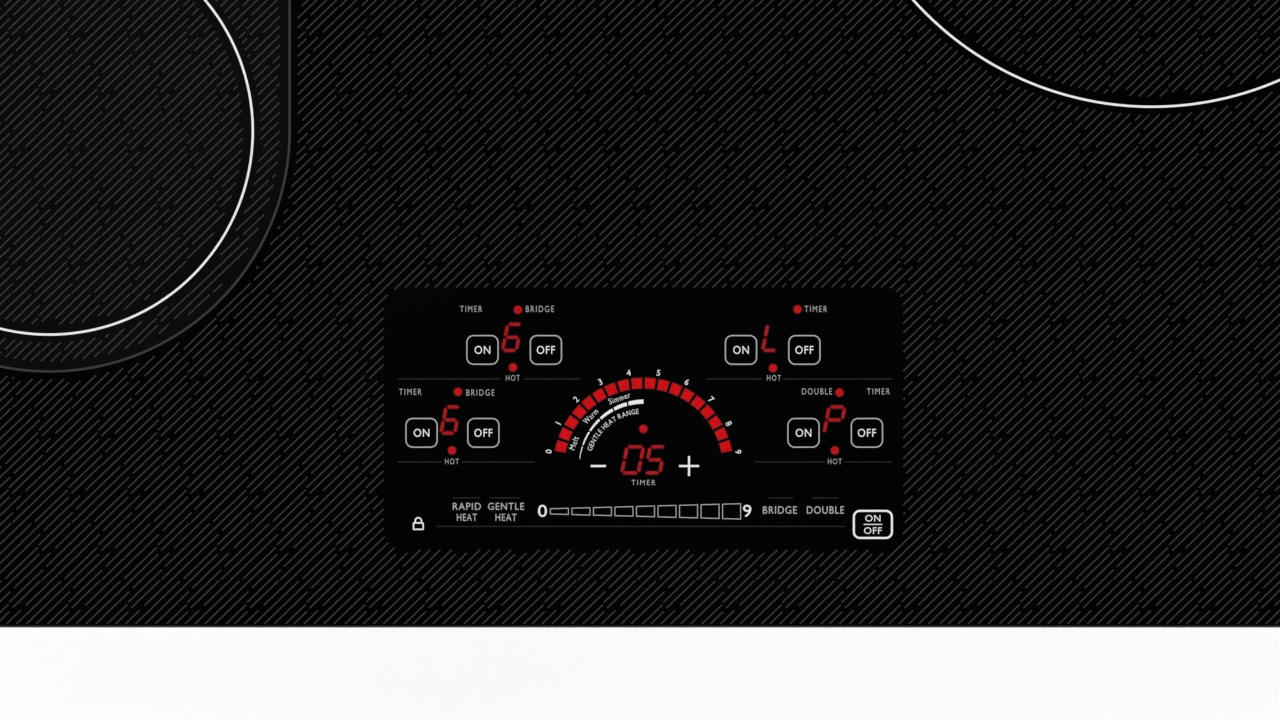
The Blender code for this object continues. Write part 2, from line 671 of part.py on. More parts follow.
def carrier_windows(centre, outer, inner):
    """Openings between the spokes of a coil carrier."""
    pitch = math.tau / CARRIER_SPOKES
    spoke = pitch * CARRIER_SPOKE_SHARE / 2
    windows = []
    for i in range(CARRIER_SPOKES):
        first, last = i * pitch + spoke, (i + 1) * pitch - spoke
        angles = [first + (last - first) * k / 4 for k in range(5)]
        rim = [(centre[0] + outer * math.cos(a), centre[1] + outer * math.sin(a)) for a in angles]
        hub = [(centre[0] + inner * math.cos(a), centre[1] + inner * math.sin(a))
               for a in (angles[-1], angles[0])]
        windows.append(rim + hub)
    return windows


def annulus(name, centre, outer, inner, low_z, high_z, finish):
    steps = CIRCLE_STEPS
    return flat_plate(name, [circle(outer, centre, steps), circle(inner, centre, steps)],
                      low_z, high_z, finish)


def coil_unit(label, x, y, zone_radius):
    """A carrier, its winding, the insulating mat on top and the temperature sensor in the middle."""
    centre = (x, y)
    reach = zone_radius - COIL_MARGIN
    rim = reach + CARRIER_RIM / 2
    outlines = [circle(rim, centre), circle(HUB_BORE, centre, 16)]
    outlines += carrier_windows(centre, rim - 2 * CARRIER_RIM, WINDING_BORE + CARRIER_RIM)
    flat_plate("coil_carrier_" + label, outlines, CARRIER_TOP - CARRIER_THICKNESS, CARRIER_TOP,
               WHITE_PLASTIC)
    low, high = WINDING_TOP - WINDING_HEIGHT, WINDING_TOP
    if zone_radius > DUAL_SPLIT + COIL_MARGIN:
        split = DUAL_SPLIT - COIL_MARGIN
        annulus(f"winding_{label}_inner", centre, split, WINDING_BORE, low, high, COPPER)
        annulus(f"winding_{label}_outer", centre, reach, split + DUAL_SPLIT_GAP, low, high, COPPER)
    else:
        annulus("winding_" + label, centre, reach, WINDING_BORE, low, high, COPPER)
    annulus("insulation_mat_" + label, centre, reach + CARRIER_RIM / 2, MAT_BORE,
            MAT_TOP - MAT_THICKNESS, MAT_TOP, MAT)
    base = CARRIER_TOP - CARRIER_THICKNESS + GAP
    shoulder = base + CARRIER_THICKNESS / 2
    turned("pan_sensor_" + label,
           [(0.0, MAT_TOP), (SENSOR_RADIUS, MAT_TOP), (SENSOR_RADIUS, shoulder),
            (SENSOR_FLANGE, shoulder), (SENSOR_FLANGE, base), (0.0, base)],
           centre, WHITE_PLASTIC, steps=12)


# ---- Blowers --------------------------------------------------------------------------------
def scroll_radius(angle):
    """Inner radius of the scroll wall: it grows from the tongue to a full turn."""
    share = (angle - SCROLL_TONGUE) / (math.tau - SCROLL_TONGUE)
    return SCROLL_INNER + (SCROLL_OUTER - SCROLL_INNER) * share


def scroll_outline(wall, reach, steps=22):
    """The scroll, tongue to tail, closed by the outlet that runs along +Y."""
    points = [(SCROLL_OUTER + wall, reach)]
    first = SCROLL_TONGUE + wall / SCROLL_INNER * 3
    for i in range(steps + 1):
        angle = math.tau - (math.tau - first) * i / steps
        radius = scroll_radius(angle) + wall
        points.append((radius * math.cos(angle), radius * math.sin(angle)))
    points.append((SCROLL_INNER * math.cos(SCROLL_TONGUE) - wall, reach))
    return points


def fan_housing(side, x, y):
    """The scroll casing, open to the floor's intake slots, with the fixed axle under its roof."""
    low, high = FLOOR, FLOOR + FAN_HEIGHT
    casing = solid_plate("fan_housing_" + side, [scroll_outline(FAN_WALL, OUTLET_REACH)], low, high,
                         BLACK_PLASTIC)
    hollow = solid_plate(f"fan_hollow_{side}", [scroll_outline(0.0, OUTLET_REACH + 4 * FAN_WALL)],
                         low - FAN_WALL, high - FAN_WALL, BLACK_PLASTIC, helper=True)
    axle = cylinders(f"fan_axle_{side}", [((0.0, 0.0), AXLE_RADIUS, low + ROTOR_CLEARANCE,
                                          high - FAN_WALL + SINK)], BLACK_PLASTIC, steps=12)
    for piece in (casing, hollow, axle):
        piece.location.x += x
        piece.location.y += y
    return unite(cut(casing, hollow), axle)


def fan_rotor(side, x, y):
    """The impeller: a disc with curved-back blades round its edge and a bored hub."""
    low = FLOOR + ROTOR_CLEARANCE
    high = FLOOR + FAN_HEIGHT - FAN_WALL - ROTOR_CLEARANCE
    disc = solid_plate("fan_rotor_" + side,
                       [circle(ROTOR_RADIUS), circle(AXLE_RADIUS + AXLE_CLEARANCE, steps=12)],
                       high - ROTOR_DISC, high, BLACK_PLASTIC)
    hub = solid_plate(f"rotor_hub_{side}",
                      [circle(ROTOR_HUB, steps=18), circle(AXLE_RADIUS + 2 * AXLE_CLEARANCE, steps=12)],
                      low, high - ROTOR_DISC + SINK, BLACK_PLASTIC, helper=True)

    def build(work):
        middle = (ROTOR_RADIUS - ROTOR_CLEARANCE / 2 + ROTOR_BLADE_INNER) / 2
        length = ROTOR_RADIUS - ROTOR_CLEARANCE / 2 - ROTOR_BLADE_INNER
        top = high - ROTOR_DISC + SINK
        for i in range(ROTOR_BLADES):
            turn = Matrix.Rotation(math.tau * i / ROTOR_BLADES, 4, "Z")
            place = Matrix.Translation((middle, 0.0, (low + top) / 2))
            lean = Matrix.Rotation(ROTOR_BLADE_LEAN, 4, "Z")
            size = Matrix.Diagonal((length, ROTOR_BLADE_THICKNESS, top - low, 1.0))
            bmesh.ops.create_cube(work, size=1.0, matrix=turn @ place @ lean @ size)
    blades = mesh_from(build, f"rotor_blades_{side}", BLACK_PLASTIC, helper=True)
    for piece in (disc, hub, blades):
        piece.location.x += x
        piece.location.y += y
    return unite(disc, hub, blades)


# ---- Electronics ----------------------------------------------------------------------------
def populated_board(name, low, high, top, blocks, cans, posts_to):
    """A circuit board with components on it, and a post under each corner down to posts_to.

    A block is (centre x, centre y, size), and a can is (centre x, centre y, radius and height).
    """
    board = box(name, (*low, top - BOARD_THICKNESS), (*high, top), CIRCUIT)
    inset = 2 * POST_RADIUS
    corners = [(x, y) for x in (low[0] + inset, high[0] - inset)
               for y in (low[1] + inset, high[1] - inset)]
    post_top = top - BOARD_THICKNESS + SINK
    posts = cylinders(name + "_posts", [(corner, POST_RADIUS, posts_to, post_top) for corner in corners],
                      CIRCUIT, steps=6)
    joined = [posts]
    pairs = [((x - width / 2, y - depth / 2, top - SINK), (x + width / 2, y + depth / 2, top + height))
             for x, y, (width, depth, height) in blocks]
    joined.append(boxes(name + "_blocks", pairs, CIRCUIT))
    joined.append(cylinders(name + "_cans", [((x, y), radius, top - SINK, top + height)
                                             for x, y, (radius, height) in cans], CIRCUIT, steps=10))
    return unite(board, *joined)


def power_electronics():
    """An inverter board with its finned heatsink for each side of the box."""
    outlet_end = -INNER_Y + FAN_WALL_CLEARANCE + SCROLL_OUTER + OUTLET_REACH
    low_y = outlet_end + BOARD_CLEARANCE
    high_y = INNER_Y - BOARD_REAR_CLEARANCE
    top = FLOOR + BOARD_STANDOFF + BOARD_THICKNESS
    for side, (low_x, high_x) in BOARDS.items():
        outer, inner = low_x + COIL_COLUMN, low_x + SMALL_COLUMN
        row = (high_y - low_y) / BOARD_ROWS
        rows = [low_y + (i + 0.5) * row for i in range(BOARD_ROWS)]
        blocks = [(outer, rows[i], CHOKE_SIZE) for i in (0, 2, 4)] + [(inner, rows[3], RELAY_SIZE)]
        cans = [(outer, rows[i], LARGE_CAN) for i in (1, 3)]
        cans += [(inner, rows[i], SMALL_CAN) for i in (0, 1)]
        populated_board("power_board_" + side, (low_x, low_y), (high_x, high_y), top, blocks, cans, FLOOR)
        sink_x = fan_places()[side][2]
        heatsink(side, sink_x, low_y + 2 * BOARD_CLEARANCE, high_y - 2 * BOARD_CLEARANCE, top + GAP)


def heatsink(side, middle, low_y, high_y, base):
    """An extruded comb: fins stand on a base that runs along the air stream."""
    left = -HEATSINK_WIDTH / 2
    pitch = (HEATSINK_WIDTH - HEATSINK_FIN) / (HEATSINK_FINS - 1)
    outline = [(left, 0.0), (-left, 0.0)]
    for i in reversed(range(HEATSINK_FINS)):
        fin = left + i * pitch
        outline += [(fin + HEATSINK_FIN, HEATSINK_HEIGHT), (fin, HEATSINK_HEIGHT)]
        if i:
            outline += [(fin, HEATSINK_BASE), (fin - pitch + HEATSINK_FIN, HEATSINK_BASE)]
    made = flat_plate("heatsink_" + side, [outline], 0.0, high_y - low_y, ALUMINIUM)
    made.rotation_euler.x = math.pi / 2
    made.location = (middle, (low_y + high_y) / 2, base)
    return made


def filter_board():
    """The mains filter: two chokes, two capacitors and a fuse on the middle of the floor."""
    low_x = -FILTER_WIDTH / 2 + BOARD_CLEARANCE
    low_y = LEFT_FRONT_Y - FILTER_FORWARD
    top = FLOOR + BOARD_STANDOFF + BOARD_THICKNESS
    blocks = [(low_x + X_CAPACITOR_COLUMN, low_y + row, X_CAPACITOR_SIZE) for row in FILTER_ROWS]
    blocks.append((low_x + FUSE_COLUMN, low_y + FILTER_DEPTH / 2, FUSE_SIZE))
    cans = [(low_x + TOROID_COLUMN, low_y + row, TOROID_CAN) for row in FILTER_ROWS]
    return populated_board("filter_board", (low_x, low_y), (low_x + FILTER_WIDTH, low_y + FILTER_DEPTH),
                           top, blocks, cans, FLOOR)


def terminal_block():
    """Screw terminals beside the gland: a stepped block with three wire channels."""
    width, depth, height = TERMINAL_SIZE
    low_x = GLAND_OFFSET - width / 2
    high_y = INNER_Y - TERMINAL_REAR_CLEARANCE
    block = box("terminal_block", (low_x, high_y - depth, FLOOR), (low_x + width, high_y, FLOOR + height),
                WHITE_PLASTIC)
    pitch = width / TERMINAL_WAYS
    channel = pitch * TERMINAL_CHANNEL_SHARE
    pairs = []
    for i in range(TERMINAL_WAYS):
        x = low_x + (i + 0.5) * pitch
        pairs.append(((x - channel / 2, high_y - depth / 2, FLOOR + height / 2),
                      (x + channel / 2, high_y + depth, FLOOR + 2 * height)))
    return cut(block, boxes("terminal_cutter", pairs, WHITE_PLASTIC))


# ---- Touch control --------------------------------------------------------------------------
def arc_windows():
    """One window for each light of the power arc."""
    centre_y = -HALF_DEPTH + ARC_CENTRE_INSET
    pitch = ARC_SPAN / ARC_BLOCKS
    windows = []
    for i in range(ARC_BLOCKS):
        first = (math.pi - ARC_SPAN) / 2 + (i + (1 - ARC_BLOCK_SHARE) / 2) * pitch
        last = first + ARC_BLOCK_SHARE * pitch
        windows.append([(radius * math.cos(a), centre_y + radius * math.sin(a))
                        for radius, a in ((ARC_OUTER, first), (ARC_OUTER, last),
                                          (ARC_INNER, last), (ARC_INNER, first))])
    return windows


def light_shield():
    """The black plate under the glass that keeps each light to its own window."""
    half_x, half_y = PANEL_WIDTH / 2, PANEL_DEPTH / 2
    front = -HALF_DEPTH
    outlines = [rectangle(-half_x, PANEL_Y - half_y, half_x, PANEL_Y + half_y)]
    wide, tall = DISPLAY_SIZE
    for x, y in DIGITS:
        outlines.append(rectangle(x - wide / 2, front + y - tall / 2, x + wide / 2, front + y + tall / 2))
    for x, y in INDICATORS:
        outlines.append(circle(LED_WINDOW, (x, front + y), 8))
    return flat_plate("light_shield", outlines + arc_windows(), SHIELD_BOTTOM, SHIELD_TOP, BLACK_PLASTIC)


def touch_board():
    """The control's circuit board, with its number displays on top."""
    wide, tall = (size - 2 * GAP for size in DISPLAY_SIZE)
    front = -HALF_DEPTH
    half_x, half_y = PANEL_WIDTH / 2 - GAP, PANEL_DEPTH / 2 - GAP
    board = box("touch_board", (-half_x, PANEL_Y - half_y, TOUCH_BOARD_BOTTOM),
                (half_x, PANEL_Y + half_y, TOUCH_BOARD_TOP), CIRCUIT)
    pairs = [((x - wide / 2, front + y - tall / 2, TOUCH_BOARD_TOP - SINK),
              (x + wide / 2, front + y + tall / 2, TOUCH_BOARD_TOP + DISPLAY_HEIGHT))
             for x, y in DIGITS]
    return unite(board, boxes("display_blocks", pairs, CIRCUIT))


def control_tray():
    """The plastic tray that holds the control up against the glass, on four legs."""
    half_x = PANEL_WIDTH / 2 + TRAY_MARGIN
    half_y = PANEL_DEPTH / 2 + TRAY_MARGIN
    tray = box("control_tray", (-half_x, PANEL_Y - half_y, TRAY_BOTTOM),
               (half_x, PANEL_Y + half_y, GLASS_BOTTOM - GAP), BLACK_PLASTIC)
    room_x, room_y = half_x - TRAY_WALL, half_y - TRAY_WALL
    room = box("tray_room", (-room_x, PANEL_Y - room_y, TRAY_BOTTOM + TRAY_WALL),
               (room_x, PANEL_Y + room_y, GLASS_BOTTOM + TRAY_WALL), BLACK_PLASTIC, helper=True)
    legs, ledges = [], []
    rail_side = -(spring_rows()["right"][0] + RAIL_WIDTH / 2)  # the middle rail's face beside the tray
    spread = min(half_x - TRAY_LEG_INSET, rail_side - TRAY_LEG_CLEARANCE - TRAY_LEG / 2)
    for side in (-1, 1):
        for end in (-1, 1):
            x = side * spread
            y = PANEL_Y + end * (half_y - TRAY_LEG)
            legs.append(((x - TRAY_LEG / 2, y - TRAY_LEG / 2, FLOOR),
                         (x + TRAY_LEG / 2, y + TRAY_LEG / 2, TRAY_BOTTOM + SINK)))
            ledges.append(((x - TRAY_LEG / 2, y - TRAY_LEG / 2, TRAY_BOTTOM + TRAY_WALL - SINK),
                           (x + TRAY_LEG / 2, y + TRAY_LEG / 2, TOUCH_BOARD_BOTTOM - GAP)))
    return unite(cut(tray, room), boxes("tray_legs", legs, BLACK_PLASTIC),
                 boxes("tray_ledges", ledges, BLACK_PLASTIC))


# ---- Hold-down clamps -----------------------------------------------------------------------
def sided(side, low_x, high_x):
    """A span of x measured outward from the middle, on the left (-1) or the right (1)."""
    return (low_x, high_x) if side > 0 else (-high_x, -low_x)


def clamp_bracket(label, side):
    """A folded bracket on the box wall, with an ear at each end for the clamp screw."""
    back = sided(side, BRACKET_X, BRACKET_X + BRACKET_SHEET)
    ear = sided(side, BRACKET_X + BRACKET_SHEET / 2, CLAMP_X + CLAMP_BOSS)
    half = BRACKET_HALF_WIDTH
    made = box("clamp_bracket_" + label, (back[0], -half, BRACKET_BASE), (back[1], half, BRACKET_TOP),
               STEEL)
    ears = boxes(f"bracket_ears_{label}",
                 [((ear[0], -half + SINK, low), (ear[1], half - SINK, low + BRACKET_SHEET))
                  for low in (BRACKET_BASE + SINK, BRACKET_TOP - BRACKET_SHEET - SINK)], STEEL)
    bore = cylinders(f"bracket_bore_{label}", [((side * CLAMP_X, 0.0), CLAMP_SCREW_RADIUS + GAP,
                                               0.0, BOX_HEIGHT)], STEEL, steps=16)
    return cut(unite(made, ears), bore)


def clamp_screw(label, side):
    """The long screw, head down, that turns in the bracket's ears, with a collar above the upper ear."""
    head_top = BRACKET_BASE + SINK - GAP
    head_low = head_top - CLAMP_HEAD_HEIGHT
    collar_low = BRACKET_TOP - SINK + GAP
    collar_top = collar_low + CLAMP_COLLAR_HEIGHT
    profile = [(0.0, collar_top), (CLAMP_HEAD_RADIUS, collar_top), (CLAMP_HEAD_RADIUS, collar_low),
               (CLAMP_SCREW_RADIUS, collar_low), (CLAMP_SCREW_RADIUS, head_top),
               (CLAMP_HEAD_RADIUS, head_top), (CLAMP_HEAD_RADIUS, head_low), (0.0, head_low)]
    return turned("clamp_screw_" + label, profile, (side * CLAMP_X, 0.0), SCREW_STEEL, steps=14)


def clamp_nut(label, side):
    """The nut that climbs the screw, with a round sleeve on which the arm swings."""
    bore = CLAMP_SCREW_RADIUS + GAP
    shoulder = NUT_BOTTOM + CLAMP_NUT_HEIGHT
    top = shoulder + CLAMP_ARM_THICKNESS + 3 * GAP
    hexagon = solid_plate("clamp_nut_" + label,
                          [circle(CLAMP_NUT_RADIUS, steps=6), circle(bore, steps=16)],
                          NUT_BOTTOM, shoulder, SCREW_STEEL)
    sleeve = solid_plate(f"nut_sleeve_{label}",
                         [circle(CLAMP_SLEEVE_RADIUS, steps=16), circle(bore + GAP, steps=16)],
                         shoulder - SINK, top, SCREW_STEEL, helper=True)
    for piece in (hexagon, sleeve):
        piece.location.x += side * CLAMP_X
    return unite(hexagon, sleeve)


def clamp_arm(label, side):
    """The swinging arm, folded along the box wall, with a raised pad at its tip."""
    low, high = ARM_BOTTOM, ARM_BOTTOM + CLAMP_ARM_THICKNESS
    half = CLAMP_ARM_WIDTH / 2
    boss = [(CLAMP_BOSS * math.cos(a), CLAMP_BOSS * math.sin(a))
            for a in (math.pi * (1.0 + k / 8) for k in range(9))]
    outline = boss + [(half, CLAMP_ARM_LENGTH), (-half, CLAMP_ARM_LENGTH)]
    arm = solid_plate("clamp_arm_" + label, [outline, circle(CLAMP_SLEEVE_RADIUS + GAP, steps=16)],
                      low, high, STEEL)
    pad = box(f"arm_pad_{label}", (-half + SINK, CLAMP_ARM_LENGTH - CLAMP_PAD_LENGTH, high - SINK),
              (half - SINK, CLAMP_ARM_LENGTH - SINK, high + CLAMP_PAD_HEIGHT), STEEL, helper=True)
    for piece in (arm, pad):
        piece.location.x += side * CLAMP_X
    return unite(arm, pad)


# ---- Assembly -------------------------------------------------------------------------------
def build_cooktop():
    holes, places = frame_screw_holes()
    glass_top()
    worktop_gasket()
    glass_frame(holes)
    frame_screws(places)
    burner_box(holes)
    conduit_gland()
    support_rails()
    coil_plates()
    for label, (x, y, radius) in ZONES.items():
        coil_unit(label, x, y, radius)
    for side, (x, y, _) in fan_places().items():
        fan_housing(side, x, y)
        fan_rotor(side, x, y)
    power_electronics()
    filter_board()
    terminal_block()
    control_tray()
    touch_board()
    light_shield()
    for label, side in (("left", -1), ("right", 1)):
        clamp_bracket(label, side)
        clamp_screw(label, side)
        clamp_nut(label, side)
        clamp_arm(label, side)


build_cooktop()
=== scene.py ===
"""Looks of the built-in induction cooktop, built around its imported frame, in metres.

The printed decor and the lit control are thin real pieces on the glass. Their sizes are in
millimetres: x from the middle of the glass, and "forward" inwards from its front edge.
"""

import math

import bmesh
import bpy
import numpy as np
from mathutils import Matrix, Vector

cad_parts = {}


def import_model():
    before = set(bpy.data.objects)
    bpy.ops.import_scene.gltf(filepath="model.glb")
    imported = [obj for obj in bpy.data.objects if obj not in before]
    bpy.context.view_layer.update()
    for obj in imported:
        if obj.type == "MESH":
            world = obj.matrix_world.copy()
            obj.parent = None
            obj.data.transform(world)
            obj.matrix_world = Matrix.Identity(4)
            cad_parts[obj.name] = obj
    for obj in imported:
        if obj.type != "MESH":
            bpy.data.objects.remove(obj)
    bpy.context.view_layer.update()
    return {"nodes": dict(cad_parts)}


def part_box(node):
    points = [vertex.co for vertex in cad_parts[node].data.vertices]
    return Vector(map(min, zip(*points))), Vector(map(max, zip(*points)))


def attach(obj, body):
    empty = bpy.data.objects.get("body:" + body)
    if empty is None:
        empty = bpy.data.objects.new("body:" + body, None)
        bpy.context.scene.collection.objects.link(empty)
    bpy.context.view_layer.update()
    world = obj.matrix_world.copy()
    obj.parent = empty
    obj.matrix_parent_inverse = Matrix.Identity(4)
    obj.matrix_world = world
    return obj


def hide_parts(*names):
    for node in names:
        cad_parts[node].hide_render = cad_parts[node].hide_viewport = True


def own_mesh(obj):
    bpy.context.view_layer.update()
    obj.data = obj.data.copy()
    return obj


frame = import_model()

MM = 0.001

# ---- Places taken from the frame ------------------------------------------------------------
GLASS_LOW, GLASS_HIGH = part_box("glass_top")
FRONT = GLASS_LOW.y
TOP = GLASS_HIGH.z
ZONE_MARGIN = 9.0  # mm, from the outer winding to the printed ring

# ---- Thickness of the print, in mm over the glass -------------------------------------------
INK_SINK = 0.01
INK_RISE = 0.03

# ---- Hatch of broken slanting lines, in mm --------------------------------------------------
HATCH_ANGLE = math.radians(43.95)
HATCH_PITCH = 3.005
HATCH_REPEAT = 72.1  # the dashes of a line repeat after this length
HATCH_SLIP = -26.7  # each third line has the same dashes, slid along by this much
HATCH_ORIGIN = (4.8, 274.2)
HATCH_LINE = 0.5
HATCH_STEP = 0.1  # fineness of the clipping
HATCH_EDGE = 1.7
HATCH_SHORTEST = 1.0
HATCH_CLEAR_INSIDE = 4.3  # bare band on the inner side of a ring, and on its outer side
HATCH_CLEAR_OUTSIDE = 3.5
# (line, start, length, sideways shift) of the seven dashes of one repeat
HATCH_DASHES = (
    (0, 20.5, 20.5, 0.0),
    (0, 42.9, 27.1, 0.0),
    (0, 71.8, 19.9, 0.43),
    (1, 19.8, 17.4, -0.27),
    (1, 37.8, 52.2, 0.0),
    (2, 24.8, 44.8, 0.0),
    (2, 71.7, 22.2, 0.0),
)
HATCH_OFFSET = 2.79  # from the origin to line 0

# ---- Rings ----------------------------------------------------------------------------------
RING_LINE = 1.0
RING_STEPS = 256
BRIDGE_RADIUS = 105.0
BRIDGE_LINE = 1.0
BRIDGE_STEPS = 96
INNER_RING = 88.9  # the small ring of the double zone

# ---- Control panel --------------------------------------------------------------------------
PANEL_HALF_WIDTH = 113.4
PANEL_FRONT = 34.1
PANEL_REAR = 148.7
PANEL_CORNER = 8.5
KEY_SIZE = (13.6, 12.5)  # to the middle of the line
KEY_CORNER = 2.9
KEY_LINE = 0.5
ARC_CENTRE = (0.0, 69.9)


# ---- Printing helpers -----------------------------------------------------------------------
class Ink:
    """Flat shapes of one ink, gathered as closed prisms into one mesh."""

    def __init__(self, rise=INK_RISE):
        self.low = TOP - INK_SINK * MM
        self.high = TOP + rise * MM
        self.points = []
        self.faces = []

    def band(self, left, right, closed=False):
        """The strip between two lines of points."""
        first = len(self.points)
        for a, b in zip(left, right):
            self.points += [(*a, self.low), (*b, self.low), (*b, self.high), (*a, self.high)]
        count = len(left)
        for i in range(count if closed else count - 1):
            here, there = first + 4 * i, first + 4 * ((i + 1) % count)
            for k in range(4):
                m = (k + 1) % 4
                self.faces.append((here + k, there + k, there + m, here + m))
        if not closed:
            last = first + 4 * (count - 1)
            self.faces.append(tuple(first + k for k in range(4)))
            self.faces.append(tuple(last + k for k in reversed(range(4))))

    def line(self, points, width, closed=False):
        """A line of one width along points, mitred at its corners."""
        self.band(*edges_of(points, width, closed), closed)

    def patch(self, points):
        """A filled outline."""
        first, count = len(self.points), len(points)
        self.points += [(*p, self.low) for p in points] + [(*p, self.high) for p in points]
        self.faces.append(tuple(first + i for i in reversed(range(count))))
        self.faces.append(tuple(first + count + i for i in range(count)))
        for i in range(count):
            j = (i + 1) % count
            self.faces.append((first + i, first + j, first + count + j, first + count + i))

    def words(self, text, x, forward, width, height, turn=0.0, weight=0.0, spacing=1.0):
        """Lettering fitted to a width and a height, centred on a place, turned by an angle."""
        points, faces = letter_mesh(text, weight, spacing)
        low, high = points.min(0), points.max(0)
        centre = (low + high) / 2
        size = (width or (high - low)[0] * height / (high - low)[1], height)
        middle, turned = at(x, forward), Matrix.Rotation(turn, 2)
        first = len(self.points)
        for p in points:
            flat = [(p[i] - centre[i]) / (high - low)[i] * size[i] * MM for i in (0, 1)]
            self.points.append((*(middle + turned @ Vector(flat)), self.high if p[2] > 0 else self.low))
        self.faces += [tuple(first + i for i in face) for face in faces]

    def make(self, name, look):
        mesh = bpy.data.meshes.new(name)
        mesh.from_pydata(self.points, [], self.faces)
        return finished(name, mesh, look)


def at(x, forward):
    """A place on the glass, in metres."""
    return Vector((x * MM, FRONT + forward * MM))


def edges_of(points, width, closed):
    left, right = [], []
    count = len(points)
    for i, p in enumerate(points):
        back = p - points[i - 1] if closed or i else points[1] - p
        ahead = points[(i + 1) % count] - p if closed or i < count - 1 else back
        back, ahead = back.normalized(), ahead.normalized()
        along = (back + ahead).normalized()
        reach = width * MM / 2 / along.dot(back)
        side = Vector((-along.y, along.x)) * reach
        left.append(p + side)
        right.append(p - side)
    return left, right


def arc(x, forward, radius, start, end, steps):
    """Points on an arc, angles in degrees from +X."""
    angles = [math.radians(start + (end - start) * i / steps) for i in range(steps + 1)]
    return [at(x + radius * math.cos(a), forward + radius * math.sin(a)) for a in angles]


def circle(x, forward, radius, steps=48):
    return arc(x, forward, radius, 0, 360, steps)[:-1]


def rounded(x, forward, width, depth, radius, steps=8):
    """The outline of a rectangle with round corners."""
    points = []
    for sx, sy, start in ((1, 1, 0), (-1, 1, 90), (-1, -1, 180), (1, -1, 270)):
        cx, cy = x + sx * (width / 2 - radius), forward + sy * (depth / 2 - radius)
        points += arc(cx, cy, radius, start, start + 90, steps)
    return points


LETTERS = {}


def letter_mesh(text, weight=0.0, spacing=1.0):
    """(points, faces) of solid lettering from z -1 to 1, kept for the next time."""
    if (text, weight, spacing) not in LETTERS:
        curve = bpy.data.curves.new("lettering", "FONT")
        curve.body = text
        curve.extrude = 1.0
        curve.offset = weight
        curve.space_character = spacing
        curve.resolution_u = 4
        holder = bpy.data.objects.new("lettering", curve)
        mesh = bpy.data.meshes.new_from_object(holder)
        work = bmesh.new()
        work.from_mesh(mesh)
        bmesh.ops.remove_doubles(work, verts=work.verts, dist=1e-5)
        bmesh.ops.dissolve_degenerate(work, edges=work.edges, dist=1e-5)
        work.verts.ensure_lookup_table()
        points = np.array([v.co for v in work.verts])
        faces = [[v.index for v in f.verts] for f in work.faces]
        work.free()
        bpy.data.objects.remove(holder)
        bpy.data.curves.remove(curve)
        bpy.data.meshes.remove(mesh)
        LETTERS[text, weight, spacing] = points, faces
    return LETTERS[text, weight, spacing]


def finished(name, mesh, look, body="housing"):
    """An object for a mesh, with its faces turned out, its material, and the body it rides on."""
    work = bmesh.new()
    work.from_mesh(mesh)
    bmesh.ops.recalc_face_normals(work, faces=work.faces)
    work.to_mesh(mesh)
    work.free()
    mesh.materials.append(look)
    piece = bpy.data.objects.new(name, mesh)
    bpy.context.scene.collection.objects.link(piece)
    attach(piece, body)
    return piece


